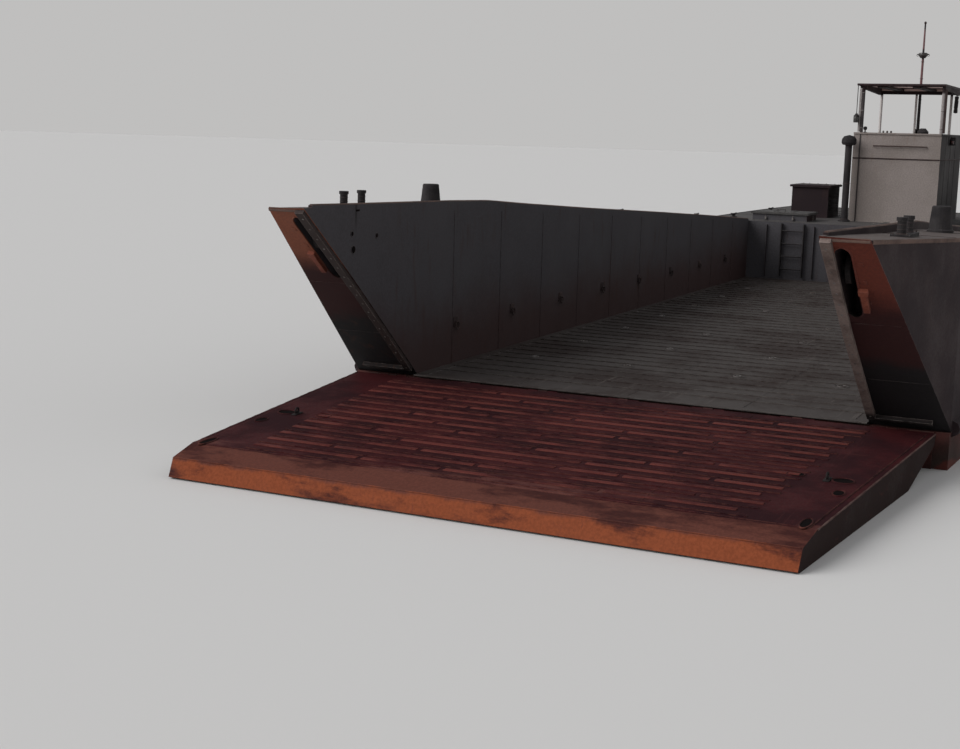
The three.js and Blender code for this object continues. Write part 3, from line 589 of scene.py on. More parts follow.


# Colours of the ramp by place, in the ramp's own frame: s from the hinge, n off the face. Its side
# faces and its underside are painted dark as painted shade
rampColours = {
    "toeFace": (0.225, 0.060, 0.026), "bevel": (0.120, 0.042, 0.031),
    "dim": (0.052, 0.017, 0.015), "side": (0.026, 0.016, 0.015),
    "under": (0.026, 0.014, 0.014), "trodden": (0.125, 0.046, 0.038),
    "hinge": (8.5, 0, 1.3), "restDeg": -2.2, "troddenFrom": 2.75, "bevelFrom": 3.352,
    "toeFrom": 3.648, "soft": 0.01,
}


def rampColour(tree, place, colour):
    look = rampColours
    own = addNode(tree, "Mapping", {
        "Vector": place, "Location": look["hinge"],
        "Rotation": (0, -math.radians(look["restDeg"]), 0)}, vector_type="TEXTURE").outputs[0]
    patch = times(tree, minus(tree, noise(tree, place, 5, 6, 0.6), 0.5), 0.05)
    s = plus(tree, axisParts(tree, own)["X"], patch)
    side = maths(tree, "ABSOLUTE", axisParts(tree, coordinates(tree, "Normal"))["Y"])
    # the bevel and the toe face are dim in random patches
    dimPatches = remap(tree, drawnNoise(tree, place, (2.6, 0.9, 2.6), 7, 0.68), 0.46, 0.60)
    rubbed = remap(tree, drawnNoise(tree, place, (2.2, 0.8, 1.0), 7, 0.7), 0.47, 0.64)
    near = remap(tree, s, look["troddenFrom"], look["bevelFrom"])
    colour = mixed(tree, times(tree, rubbed, near), colour, look["trodden"])
    for start, paint in (("bevelFrom", "bevel"), ("toeFrom", "toeFace")):
        band = mixed(tree, dimPatches, look[paint], look["dim"])
        reached = remap(tree, s, look[start] - look["soft"], look[start] + look["soft"])
        colour = mixed(tree, reached, colour, band)
    # painted shade: the ramp's side faces are painted dark
    colour = mixed(tree, remap(tree, side, 0.7, 0.85), colour, look["side"])
    # painted shade: the ramp's underside is painted dark
    return mixed(tree, facing(tree, (0, 0, -1), 0.75, 0.9), colour, look["under"])


# The roof frame's beams are dark. Its forward starboard post is painted darker than the other posts,
# as painted shade, and its after posts paler than the house paint, as painted light where the roof
# shades them. Its after beam is pale where the cloth is lashed to it
frameColours = {
    "starboardPostShade": (0.055, 0.047, 0.048), "portPost": (0.30, 0.27, 0.265),
    "afterPostsLit": (0.50, 0.46, 0.445), "beams": (0.024, 0.015, 0.016),
    "lashing": (0.56, 0.44, 0.41), "beamZ": (4.765, 4.77), "forwardX": (-6.6, -6.4),
    "backX": (-7.6, -7.65), "lashingZ": (4.852, 4.86),
}


def frameColour(tree, place, colour):
    look = frameColours
    x, y, z = axisParts(tree, place)
    port = remap(tree, y, -0.1, 0.1)
    ahead = mixed(tree, port, look["starboardPostShade"], look["portPost"])
    colour = mixed(tree, remap(tree, x, *look["forwardX"]), look["afterPostsLit"], ahead)
    colour = mixed(tree, remap(tree, z, *look["beamZ"]), colour, look["beams"])
    onBack = times(tree, facing(tree, (1, 0, 0)), remap(tree, x, *look["backX"]))
    pale = times(tree, onBack, remap(tree, z, *look["lashingZ"]))
    return mixed(tree, pale, colour, look["lashing"])


# The grab rail on the front wall is dark
railLook = {"x": -5.869, "z": 3.8, "half": 0.013, "colour": (0.055, 0.035, 0.032)}


def frontColour(tree, place, colour):
    look = railLook
    x, _, z = axisParts(tree, place)
    off = maths(tree, "ABSOLUTE", minus(tree, z, look["z"]))
    ahead = remap(tree, x, look["x"], look["x"] + 0.001)
    near = remap(tree, off, look["half"] + 0.002, look["half"])
    return mixed(tree, times(tree, ahead, near), colour, look["colour"])


# The seal of the bow gate is dark where it turns along the sill, with dirt and painted shade, and is
# painted darker to starboard as painted shade
sealColours = {"starboard": (0.046, 0.034, 0.032), "sill": (0.022, 0.018, 0.018)}


def sealColour(tree, place, colour):
    _, y, z = axisParts(tree, place)
    # painted shade: the starboard seal is darker
    colour = mixed(tree, remap(tree, y, 0.5, -0.5), colour, sealColours["starboard"])
    # dirt and painted shade: dark along the sill
    return mixed(tree, remap(tree, z, 1.52, 1.44), colour, sealColours["sill"])


# The mast is red above the roof, with a dark foot and tip and a dark lamp
mastColours = {
    "red": (0.155, 0.082, 0.084), "from": (4.93, 4.96), "to": (6.06, 6.0),
    "lampFrom": (5.46, 5.47), "lampTo": (5.66, 5.65),
}


def mastColour(tree, place, colour):
    look = mastColours
    z = axisParts(tree, place)["Z"]
    red = times(tree, remap(tree, z, *look["from"]), remap(tree, z, *look["to"]))
    lamp = times(tree, remap(tree, z, *look["lampFrom"]), remap(tree, z, *look["lampTo"]))
    return mixed(tree, times(tree, red, minus(tree, 1.0, lamp)), colour, look["red"])


# The after deck, and the bulkhead at the end of the well, over the paint of the sides
def sternColour(tree, place, colour):
    high = remap(tree, axisParts(tree, place)["Z"], 1.3, 1.36)
    forward = times(tree, facing(tree, (1, 0, 0)), high)
    colour = mixed(tree, forward, colour, wingColours["wall"])
    return mixed(tree, facing(tree, (0, 0, 1)), colour, (0.078, 0.072, 0.070))


darkRust = (0.052, 0.024, 0.016)

looks = {
    "hullPaint": {
        "paint": (0.034, 0.021, 0.022), "shade": (0.023, 0.015, 0.017),
        "rust": (0.055, 0.026, 0.019), "bare": (0.10, 0.08, 0.075), "runs": 0.5, "tide": 1.0,
        "plates": 0.6, "spots": 0.35, "patchCover": 0.6},
    "deckPaint": {
        "paint": (0.080, 0.076, 0.074), "shade": (0.052, 0.048, 0.047), "scuffs": 0.5,
        "scuffColour": (0.13, 0.12, 0.11), "spots": 0.5, "lugPitch": 0.05},
    "wellPaint": {
        "paint": (0.064, 0.054, 0.050), "shade": (0.042, 0.031, 0.028), "scuffs": 0.85,
        "scuffColour": (0.13, 0.11, 0.10), "spots": 0.7, "patchScale": 1.1},
    "gunwalePaint": {
        "paint": (0.128, 0.080, 0.065), "shade": (0.080, 0.052, 0.045), "patchScale": 2.4,
        "spots": 0.5},
    "bottomPaint": {
        "paint": (0.082, 0.024, 0.020), "shade": (0.048, 0.020, 0.018),
        "bare": (0.12, 0.085, 0.075), "tide": 1.0, "plates": 0.6},
    "rampPaint": {
        "paint": (0.050, 0.0105, 0.0120), "shade": (0.026, 0.0075, 0.0095), "rust": darkRust,
        "bare": (0.14, 0.055, 0.042), "scuffs": 0.55, "scuffColour": (0.090, 0.030, 0.028),
        "spots": 0.25, "sheen": 0.05, "patchScale": 1.4, "patchCover": 0.55},
    # painted highlight: the ridges are painted far brighter than the ramp
    "ridgePaintedLight": {
        "paint": (0.120, 0.031, 0.026), "shade": (0.048, 0.013, 0.014), "rust": darkRust,
        "bare": (0.18, 0.075, 0.055), "spots": 0.4, "patchScale": 1.6, "sheen": 0.05},
    "rimPaint": {
        "paint": (0.105, 0.062, 0.053), "shade": (0.062, 0.030, 0.027), "rust": darkRust,
        "bare": (0.16, 0.11, 0.10), "spots": 0.4, "patchScale": 2.4, "sheen": 0.10},
    "primerPaint": {
        "paint": (0.165, 0.046, 0.028), "shade": (0.080, 0.028, 0.021), "rust": darkRust,
        "bare": (0.20, 0.165, 0.15), "spots": 0.4},
    # painted light: the ramp dogs are painted brighter than the primer round them
    "dogPaintedLight": {
        "paint": (0.230, 0.070, 0.045), "shade": (0.150, 0.046, 0.032), "rust": darkRust,
        "bare": (0.24, 0.17, 0.15), "spots": 0.4, "patchScale": 5.0, "edgeReach": 0.006},
    "sillPaint": {
        "paint": (0.060, 0.020, 0.017), "shade": (0.034, 0.015, 0.014), "rust": darkRust,
        "bare": (0.13, 0.09, 0.08), "spots": 0.4, "patchScale": 3.0},
    "sealStrip": {
        "paint": (0.225, 0.175, 0.158), "shade": (0.125, 0.092, 0.082),
        "bare": (0.30, 0.26, 0.24), "patchScale": 3.0, "spots": 0.5, "runs": 0.5,
        "runWidth": 30.0, "runLength": 0.25},
    "housePaint": {
        "paint": (0.265, 0.228, 0.212), "shade": (0.222, 0.190, 0.174),
        "rust": (0.15, 0.09, 0.06), "bare": (0.17, 0.145, 0.13), "runs": 0.4, "runWidth": 16.0,
        "runLength": 0.35, "spots": 0.12, "edges": 0.4, "edgeReach": 0.008, "grainDepth": 0.0003},
    # painted shade: the pilothouse sides, and the angle and seams that share this paint, are far darker
    # than the front
    "sidePaintedShade": {
        "paint": (0.047, 0.042, 0.042), "shade": (0.037, 0.033, 0.033),
        "rust": (0.05, 0.03, 0.024), "bare": (0.09, 0.082, 0.08), "runs": 0.4, "runWidth": 16.0,
        "runLength": 0.35, "spots": 0.15, "edges": 0.4, "edgeReach": 0.008, "grainDepth": 0.0003},
    # painted shade: near-black paint of the hoist sheave in its slot, which the ramp eyes share
    "sheavePaintedShade": {
        "paint": (0.020, 0.016, 0.016), "shade": (0.013, 0.011, 0.011), "rust": darkRust,
        "bare": (0.05, 0.04, 0.038), "patchScale": 8.0, "spots": 0.4, "edgeReach": 0.004},
    "fittingPaint": {
        "paint": (0.034, 0.030, 0.031), "shade": (0.022, 0.020, 0.021), "patchScale": 4.0,
        "edgeReach": 0.006, "grainDepth": 0.0003},
    "wornSteel": {
        "paint": (0.15, 0.135, 0.128), "shade": (0.085, 0.066, 0.058), "bare": (0.3, 0.29, 0.28),
        "patchScale": 6.0, "spots": 0.6, "roughness": 0.5, "edgeReach": 0.006},
    "trimPaint": {
        "paint": (0.052, 0.034, 0.032), "shade": (0.034, 0.024, 0.024), "patchScale": 5.0,
        "spots": 0.4, "edgeReach": 0.004, "grainDepth": 0.0003},
    # painted light: pale paint of the starboard batten, which stands for the lit side of a post
    "battenPaintedLight": {
        "paint": (0.36, 0.33, 0.32), "shade": (0.28, 0.25, 0.24), "rust": (0.15, 0.10, 0.07),
        "bare": (0.2, 0.18, 0.17), "patchScale": 5.0, "spots": 0.2, "edgeReach": 0.004,
        "grainDepth": 0.0003},
    # black of the dial faces, and painted shade in the holes, the scupper and the pipe bores
    "blackAndHoleShade": {
        "paint": (0.005, 0.004, 0.004), "shade": (0.009, 0.006, 0.006),
        "rust": (0.02, 0.010, 0.008), "bare": (0.02, 0.014, 0.014), "patchScale": 9.0,
        "spots": 0.2, "roughness": 0.85, "sheen": 0.03, "grainDepth": 0.0003},
    "zincMetal": {
        "paint": (0.34, 0.34, 0.33), "shade": (0.20, 0.20, 0.19), "rust": (0.30, 0.28, 0.24),
        "bare": (0.42, 0.42, 0.41), "patchScale": 12.0, "spots": 0.7, "roughness": 0.75,
        "edgeReach": 0.006},
    "dialWhite": {
        "paint": (0.62, 0.60, 0.55), "shade": (0.5, 0.47, 0.42), "bare": (0.6, 0.58, 0.54),
        "patchScale": 20.0, "spots": 0.05, "edges": 0.0, "grainDepth": 0.0},
    "rubberBlack": {
        "paint": (0.022, 0.021, 0.021), "shade": (0.036, 0.033, 0.031),
        "rust": (0.03, 0.028, 0.026), "bare": (0.06, 0.057, 0.053), "patchScale": 3.0,
        "spots": 0.15, "edges": 0.5, "roughness": 0.85, "grainDepth": 0.0008},
    "bronze": {
        "paint": (0.42, 0.26, 0.10), "shade": (0.20, 0.15, 0.075), "rust": (0.10, 0.16, 0.11),
        "bare": (0.62, 0.42, 0.2), "patchScale": 5.0, "spots": 0.4, "roughness": 0.38,
        "edgeReach": 0.004, "grainDepth": 0.0002},
}
bronzeMetallic = 0.85

# Finishes that start from one of the looks and take other colours by place
placedPaints = {
    "sternPaint": ("hullPaint", sternColour), "wingPaint": ("hullPaint", wingColour),
    "rampPaint": ("rampPaint", rampColour), "sealStrip": ("sealStrip", sealColour),
    "frontPaint": ("housePaint", frontColour), "framePaint": ("housePaint", frameColour),
    "mastPaint": ("fittingPaint", mastColour),
}

# Clear and coloured glass: its colour, the dust on it and how much it hides
glassLooks = {
    "clearGlass": ((0.5, 0.52, 0.52), (0.09, 0.08, 0.07), 0.22),
    "redGlass": ((0.045, 0.005, 0.005), (0.035, 0.018, 0.016), 0.95),
    "greenGlass": ((0.005, 0.034, 0.018), (0.020, 0.028, 0.022), 0.95),
    "lampGlass": ((0.040, 0.036, 0.034), (0.030, 0.027, 0.025), 0.9),
}
glassCoat = 0.15


def glassMaterial(name, colour, dusty, alpha):
    material, tree, shader = newMaterial(name)
    dust = noise(tree, coordinates(tree, "Object"), 14, 5, 0.6)
    surface = mixed(tree, remap(tree, dust, 0.4, 0.8), colour, dusty)
    tree.links.new(surface, shader.inputs["Base Color"])
    tree.links.new(remap(tree, dust, 0.3, 0.8, 0.06, 0.4), shader.inputs["Roughness"])
    cover = remap(tree, dust, 0.4, 0.85, alpha, min(1.0, alpha + 0.3))
    tree.links.new(cover, shader.inputs["Alpha"])
    shader.inputs["Coat Weight"].default_value = glassCoat
    return material


# Cloth of the roof and the side curtain. Its hem starts where a point is more than half the roof's
# size from its middle, and a painted glow on its underside stands for the daylight that shows through it
clothLooks = {
    "canvas": {
        "colour": (0.40, 0.285, 0.265), "shade": (0.31, 0.215, 0.20),
        "hem": (0.034, 0.020, 0.021), "middle": (-6.82, -0.0175), "half": (0.990, 0.7675),
        "through": (0.130, 0.095, 0.088)},
    "darkCanvas": {"colour": (0.040, 0.032, 0.034), "shade": (0.027, 0.022, 0.024)},
}
weave = {"pitch": 0.004, "depth": 0.0002, "foldDepth": 0.006, "bump": 0.8, "sheen": 0.15}


def clothMaterial(name, look):
    material, tree, shader = newMaterial(name)
    place = coordinates(tree, "Object")
    parts = axisParts(tree, place)
    turns = 2 * math.pi / weave["pitch"]
    threads = [maths(tree, "SINE", times(tree, parts[axis], turns)) for axis in ("X", "Y")]
    cross = times(tree, *threads)
    stain = noise(tree, place, 1.7, 6, 0.6)
    fine = noise(tree, place, 60, 4, 0.6)
    colour = mixed(tree, remap(tree, stain, 0.38, 0.66), look["colour"], look["shade"])
    if "hem" in look:
        out = [minus(tree, maths(tree, "ABSOLUTE", minus(tree, parts[axis], middle)), half)
               for axis, middle, half in zip(("X", "Y"), look["middle"], look["half"])]
        past = remap(tree, maths(tree, "MAXIMUM", *out), 0.0, 0.003)
        colour = mixed(tree, past, colour, look["hem"])
    level = remap(tree, plus(tree, times(tree, cross, 0.15), fine), 0.2, 0.8, 0.8, 1.12)
    tree.links.new(grained(tree, colour, level), shader.inputs["Base Color"])
    tree.links.new(remap(tree, fine, 0.3, 0.8, 0.82, 0.95), shader.inputs["Roughness"])
    folds = times(tree, drawnNoise(tree, place, (2.2, 9, 2), 3, 0.5), weave["foldDepth"])
    bumped(tree, shader, plus(tree, times(tree, cross, weave["depth"]), folds), weave["bump"])
    # painted light: the underside of the roof cloth glows
    if "through" in look:
        below = facing(tree, (0, 0, -1), 0.7, 0.8)
        glow = mixed(tree, below, (0, 0, 0), look["through"])
        tree.links.new(glow, shader.inputs["Emission Color"])
        shader.inputs["Emission Strength"].default_value = 1.0
    for socket in ("Sheen Weight", "Specular IOR Level"):
        shader.inputs[socket].default_value = weave["sheen"]
    return material


print("building the finishes")
paints = {name: metalPaint(name, look) for name, look in looks.items() if name not in placedPaints}
for name, (start, colourAt) in placedPaints.items():
    paints[name] = metalPaint(name, looks[start], colourAt)
for name, look in glassLooks.items():
    paints[name] = glassMaterial(name, *look)
for name, look in clothLooks.items():
    paints[name] = clothMaterial(name, look)
castBronze = paints["bronze"].node_tree.nodes["Principled BSDF"]
castBronze.inputs["Metallic"].default_value = bronzeMetallic

# Finishes of the CAD nodes, by the start of each name; all others are small painted fittings
finishOf = {
    "bottom_hull": "bottomPaint", "skeg": "bottomPaint", "rudder": "bottomPaint",
    "stern_hull": "sternPaint", "wing_wall": "wingPaint", "well_deck": "wellPaint",
    "bow_seal": "sealStrip", "bow_sill": "sillPaint", "hoist_sheave": "sheavePaintedShade",
    "ramp_dog": "dogPaintedLight", "ramp_hinge_pin": "wornSteel", "ramp_panel": "rampPaint",
    "ramp_treads": "rampPaint", "rub_rail": "hullPaint", "engine_vent": "hullPaint",
    "pilothouse_front": "frontPaint", "pilothouse_side": "sidePaintedShade",
    "pilothouse_back": "housePaint", "pilothouse_floor": "deckPaint",
    "roof_frame": "framePaint", "engine_hatch": "deckPaint", "lazarette_hatch": "deckPaint",
    "exhaust": "wornSteel", "stern_fender": "rubberBlack", "propeller": "bronze",
    "mast_bracket": "fittingPaint", "mast": "mastPaint",
}


def paintNodes(finishes):
    for name, node in nodes.items():
        fits = [paint for start, paint in finishes.items() if name.startswith(start)]
        node.data.materials.clear()
        node.data.materials.append(paints[(fits + ["fittingPaint"])[0]])


paintNodes(finishOf)
print("CAD nodes painted")

# Ramp: places in its own frame, s from the hinge and n off its face, turned to an angle
ramp = {"hingeX": 8.5, "hingeZ": 1.3, "length": 3.72, "face": 0.058, "tread": 0.064,
        "restDeg": -2.2, "closedDeg": 38.0, "hingeHalf": 2.947, "toeHalf": 2.6}


# The hinge, plus s along the ramp and n square to it, both turned by the angle
def rampPlace(s, y, n, degrees=ramp["restDeg"]):
    angle = math.radians(degrees)
    s, y, n = np.broadcast_arrays(*(np.asarray(value, float) for value in (s, y, n)))
    return np.stack([
        ramp["hingeX"] + s * math.cos(angle) - n * math.sin(angle), y,
        ramp["hingeZ"] + s * math.sin(angle) + n * math.cos(angle)], axis=-1)


def onRamp(part, s, y, n, degrees=ramp["restDeg"]):
    return moved(part, rampPlace(s, y, n, degrees), turnAbout("Y", -degrees))


# Half width, which falls evenly from the hinge to the toe
def rampHalf(s):
    return ramp["hingeHalf"] + (ramp["toeHalf"] - ramp["hingeHalf"]) * s / ramp["length"]


# Low cross ridges between the bars of the treads, painted brighter than the ramp as a painted
# highlight, in runs with gaps where they have worn through.
# Each break between two runs wavers from row to row: y = middle + reach * sin(rate * row + phase)
ridges = {
    "first": 0.385, "pitch": 0.23, "count": 13, "width": 0.062, "height": 0.009, "margin": 0.5,
    "gap": 0.045, "rise": 0.0015,
    "breaks": [(-1.15, 0.4, 2.1, 0), (0.1, 0.5, 1.3, 2), (1.3, 0.35, 2.9, 1)],
    "shortEnd": (0.12, 1.7),
}


def makeRampRidges(look):
    parts = []
    most, rate = look["shortEnd"]
    for row in range(look["count"]):
        s = look["first"] + row * look["pitch"]
        half = rampHalf(s) - look["margin"]
        breaks = [-half]
        breaks += [middle + reach * math.sin(turn * row + phase)
                   for middle, reach, turn, phase in look["breaks"]]
        breaks.append(half - most * math.sin(rate * row) ** 2)
        for low, high in zip(breaks, breaks[1:]):
            size = (look["width"], high - low - look["gap"], look["height"])
            parts.append(onRamp(block(size), s, (low + high) / 2, ramp["tread"] + look["rise"]))
    makePiece("rampRidges", parts, "ridgePaintedLight", "ramp")


makeRampRidges(ridges)

# Oval hand holes with raised lips near the ramp's edges: s, y and the two half axes of each. Each
# hole is a dark disc inside its lip, painted shade
holes = {
    "ovals": [(3.25, 2.535, 0.125, 0.040), (2.39, 2.58, 0.085, 0.045), (2.03, 2.54, 0.080, 0.085),
              (2.00, 2.165, 0.075, 0.070)],
    "points": 28, "lip": 0.0075, "lipRise": 0.001, "shadeRise": 0.0012, "shadeDepth": 0.004,
}


def makeRampHoles(look):
    lips, holeShades = [], []
    turn = np.arange(look["points"]) * 2 * np.pi / look["points"]
    floor = disc(1, -look["shadeDepth"], look["points"])
    for s, y, along, across in look["ovals"]:
        for side in (1, -1):
            path = rampPlace(s + along * np.cos(turn), side * (y + across * np.sin(turn)),
                             ramp["tread"] + look["lipRise"])
            lips.append(sweep(circle(look["lip"], 8), path, closed=True))
            holeShades.append(onRamp(moved(floor, scale=(along, across, 1)), s, side * y,
                                 ramp["tread"] + look["shadeRise"]))
    makePiece("rampHoleLips", lips, "rampPaint", "ramp")
    makePiece("rampHoleShades", holeShades, "blackAndHoleShade", "ramp")


makeRampHoles(holes)

# Eyes on the ramp that the hoist wire holds, each on a foot with a cheek round its root
eyes = {"s": 2.05, "y": 2.42, "high": 0.058, "ring": 0.026, "thick": 0.009,
        "foot": (0.13, 0.05, 0.012), "sunk": 0.002, "cheek": (0.05, 0.014, 0.03), "cheekZ": 0.018}


def makeRampEyes(look):
    foot = slab(look["foot"], (0, 0, look["foot"][2] / 2 - look["sunk"]))
    eye = hoop(look["ring"], look["thick"], (0, 0, look["high"] - look["ring"]),
               turnAbout("X", 90), 24, 10)
    whole = joined([foot, eye, slab(look["cheek"], (0, 0, look["cheekZ"]))])
    parts = [onRamp(whole, look["s"], side * look["y"], ramp["tread"]) for side in (1, -1)]
    makePiece("rampEyes", parts, "sheavePaintedShade", "ramp")


makeRampEyes(eyes)

# Weld beads on the ramp: along both edges of the tread plate and both rims, across it at the plate
# joints, and along the toe
rampSeams = {
    "plate": (0.15, 3.335), "inset": 0.057, "bead": 0.005, "rim": (0.08, 3.33), "rimBead": 0.007,
    "rimDrop": 0.004, "joints": (-1.32, 0.0, 1.32), "jointFrom": 0.16, "jointBead": 0.0035,
    "toe": 3.643, "toeN": 0.0075, "toeHalfAt": 3.66, "toeBead": 0.006, "rise": 0.001,
}


def makeRampWelds(look):
    parts, edges = [], []
    top = ramp["face"] + look["rise"]

    def across(s, half, n, bead):
        return weld(rampPlace(s, -half, n), rampPlace(s, half, n), bead)

    for side in (1, -1):
        edge = [rampPlace(s, side * (rampHalf(s) - look["inset"]), top) for s in look["plate"]]
        parts.append(weld(*edge, look["bead"]))
        rim = [rampPlace(s, side * (rampHalf(s) - look["rise"]), ramp["face"] - look["rimDrop"])
               for s in look["rim"]]
        edges.append(weld(*rim, look["rimBead"]))
    for s in look["plate"]:
        parts.append(across(s, rampHalf(s) - look["inset"], top, look["bead"]))
    for y in look["joints"]:
        joint = [rampPlace(s, y, ramp["tread"]) for s in (look["jointFrom"], look["rim"][1])]
        parts.append(weld(*joint, look["jointBead"]))
    toeHalf = rampHalf(look["toeHalfAt"]) - 0.01
    parts.append(across(look["toe"], toeHalf, look["toeN"], look["toeBead"]))
    makePiece("rampRims", edges, "rimPaint", "ramp")
    makePiece("rampWelds", parts, "rampPaint", "ramp")


makeRampWelds(rampSeams)
print("ramp dressed")

# Bow faces: bolts on the strips that the closed ramp bears on, a rim round each slot, seams and
# brackets. Bolt heads stay under the 8 mm gap that the closed ramp leaves
bow = {
    "faceN": 0.118, "stripN": 0.078, "strip": (0.14, 2.83), "stripInset": 0.046, "pitch": 0.155,
    "bolt": (0.013, 0.0032), "boltRise": 0.0004, "slotZ": (2.48, 3.08), "slotY": (2.352, 2.478),
    "rimOut": 0.006, "rim": 0.008, "seamZ": (2.42, 1.86), "seamY": 2.366, "deckZ": 3.168,
    "bracket": (0.045, 0.05, 0.012), "bracketZ": (2.62, 2.8, 2.96), "bracketOut": 0.12,
    "outerAt": ([8.4, 9.4, 10.7], [3.04, 2.87, 2.645]),
    "innerAt": ([8.4, 9.4, 9.8, 10.7], [2.325, 2.285, 2.272, 2.266]),
}


# Point of the raked bow face at a height: the closed ramp's plane, moved out by faceN
def faceAtHeight(z, y):
    angle = math.radians(ramp["closedDeg"])
    z = np.asarray(z, float)
    s = (z - ramp["hingeZ"] - bow["faceN"] * math.cos(angle)) / math.sin(angle)
    return rampPlace(s, y, bow["faceN"], ramp["closedDeg"])


# Closed outline with round ends: half circles of 13 points joined by straight runs of 5
def slotOutline(look):
    (low, high), (inner, outer) = look["slotZ"], look["slotY"]
    radius, middle = (outer - inner) / 2, (outer + inner) / 2
    turn = np.radians(np.linspace(0, 180, 13))
    out = (radius + look["rimOut"]) * np.stack([np.cos(turn), np.sin(turn)], axis=1)
    head, foot = (middle, high - radius) + out, (middle, low + radius) - out
    share = np.linspace(0, 1, 7)[1:-1, None]
    return np.concatenate([head, head[-1] + (foot[0] - head[-1]) * share,
                           foot, foot[-1] + (head[0] - foot[-1]) * share]), middle


def makeBowFaces(look):
    closed = ramp["closedDeg"]
    bolts, trims = [], []
    head = moved(bolt(*look["bolt"]), turn=turnAbout("X", 180))
    for s in np.arange(*look["strip"], look["pitch"]):
        inner = np.interp(rampPlace(s, 0, look["faceN"], closed)[0], *look["innerAt"])
        bolts.append(onRamp(head, s, inner + look["stripInset"], look["stripN"] + look["boltRise"],
                            closed))
    outline, middle = slotOutline(look)
    trims.append(sweep(circle(look["rim"], 8), faceAtHeight(outline[:, 1], outline[:, 0]),
                       (0, 1, 0), closed=True))
    for z in look["seamZ"]:
        wide = np.interp(faceAtHeight(z, 0)[0], *look["outerAt"])
        trims.append(weld(faceAtHeight(z, look["seamY"]), faceAtHeight(z, wide - 0.02), 0.005))
    for z in look["bracketZ"]:
        trims.append(slab(look["bracket"], faceAtHeight(z, middle + look["bracketOut"]),
                          turnAbout("Y", -closed)))
    makePiece("sealBolts", bothSides(bolts), "wornSteel")
    makePiece("bowFaceTrim", bothSides(trims), "wingPaint")


makeBowFaces(bow)

# Walls of the well: upright seams, lashing eyes with hanging rings, drain holes and a scupper. The
# holes and the scupper are dark discs and a dark slab on the wall, painted shade
walls = {
    "low": 1.385, "seams": np.arange(-3.4, 8.3, 1.22), "seamBead": 0.006,
    "rings": np.arange(-3.0, 8.2, 1.5), "ringZ": 1.82, "plate": (0.11, 0.014, 0.11),
    "staple": [(-0.028, 0, -0.02), (-0.028, -0.03, 0), (0, -0.036, 0.006), (0.028, -0.03, 0),
               (0.028, 0, -0.02)],
    "bar": 0.007, "ring": 0.042, "ringAt": (0, -0.026, -0.036), "ringDeg": 84,
    "holes": [(9.848, 2.903, 0.026), (9.357, 2.862, 0.026), (9.823, 2.754, 0.038)],
    "holeRim": 0.005, "scupperAt": (9.745, 3.118), "scupper": (0.07, 0.008, 0.018),
}


# Point of the well's port wall at x and z, met from the middle of the well
def wellWall(x, z):
    return landing("wing_wall_port", (x, 0, z), (0, 1, 0))


def makeWells(look):
    seams, rings, hollows = [], [], []
    low, bar = look["low"], look["bar"]
    for x in look["seams"]:
        y = wellWall(x, low + 0.02)[1]
        top = landing("wing_wall_port", (x, y + 0.1, 5.0), (0, 0, -1))[2]
        seams.append(weld((x, y, low), (x, y, top - 0.03), look["seamBead"], (1, 0, 0)))
    for x in look["rings"]:
        place = wellWall(x, look["ringZ"])
        rings += [slab(look["plate"], place - (0, 0.004, 0)), rod(place + look["staple"], bar),
                  hoop(look["ring"], bar, place + look["ringAt"], turnAbout("X", look["ringDeg"]))]
    for x, z, radius in look["holes"]:
        place = wellWall(x, z)
        seams.append(hoop(radius, look["holeRim"], place, turnAbout("X", 90), 24))
        hollows.append(moved(disc(radius, 0.004, 24), place - (0, 0.0015, 0), turnAbout("X", -90)))
    hollows.append(slab(look["scupper"], wellWall(*look["scupperAt"]), edge=0.003))
    makePiece("wallSeams", bothSides(seams), "wingPaint")
    makePiece("wallRings", bothSides(rings), "trimPaint")
    makePiece("wallHoleShades", bothSides(hollows), "blackAndHoleShade")


makeWells(walls)

# Well deck: lashing pots with a ring and a bridge in each, and plate seams along it
floorFittings = {
    "x": np.arange(-2.33, 7.0, 1.5), "y": (0.62, 1.72), "deck": 1.37, "seams": (0.0, 1.15, 2.2),
    "seamX": (-4.4, 8.38), "seamBead": 0.004,
    "pot": [(0, -0.004), (0.088, -0.004), (0.088, 0.003), (0.082, 0.007), (0.066, 0.008),
            (0.060, 0.004), (0.058, 0.001), (0, 0.001)],
    "ring": (0.036, 0.007, (0.008, 0, 0.009)), "ringDeg": 5,
    "bridge": [(-0.058, 0, 0.006), (-0.02, 0, 0.014), (0.02, 0, 0.014), (0.058, 0, 0.006)],
    "bridgeBar": 0.006,
}


def makeWellFloor(look):
    deck, (start, end) = look["deck"], look["seamX"]
    loop = hoop(*look["ring"], turnAbout("Y", look["ringDeg"]), 24)
    bridge = rod(look["bridge"], look["bridgeBar"])
    places = [(x, y, deck) for x in look["x"] for y in look["y"]]
    pots = [copies(lathe(look["pot"], 28), places)]
    beads = [weld((start, y, deck), (end, y, deck), look["seamBead"]) for y in look["seams"]]
    makePiece("deckPots", bothSides(pots), "wellPaint")
    makePiece("deckRings", bothSides([copies(loop, places), copies(bridge, places)]), "wornSteel")
    makePiece("deckSeams", beads[:1] + bothSides(beads[1:]), "wellPaint")


makeWellFloor(floorFittings)

# After bulkhead of the well: oval bolted covers with a handle, and flat stiffeners
bulkhead = {
    "x": -4.45, "covers": [(0.62, 1.86), (-0.62, 1.86)], "half": (0.21, 0.29),
    "cover": [(0, 0), (1, 0), (1, 0.010), (0.975, 0.014), (0, 0.014)],
    "handle": [(0.01, -0.07, 0), (0.05, -0.06, 0), (0.05, 0.06, 0), (0.01, 0.07, 0)],
    "handleBar": 0.009, "bolts": 20, "boltInset": 0.03, "bolt": (0.014, 0.010),
    "stiffeners": (0.0, 1.12, -1.12, 1.98, -1.98), "stiffener": (0.05, 0.012, 0.94),
    "stiffenerZ": 1.88,
}


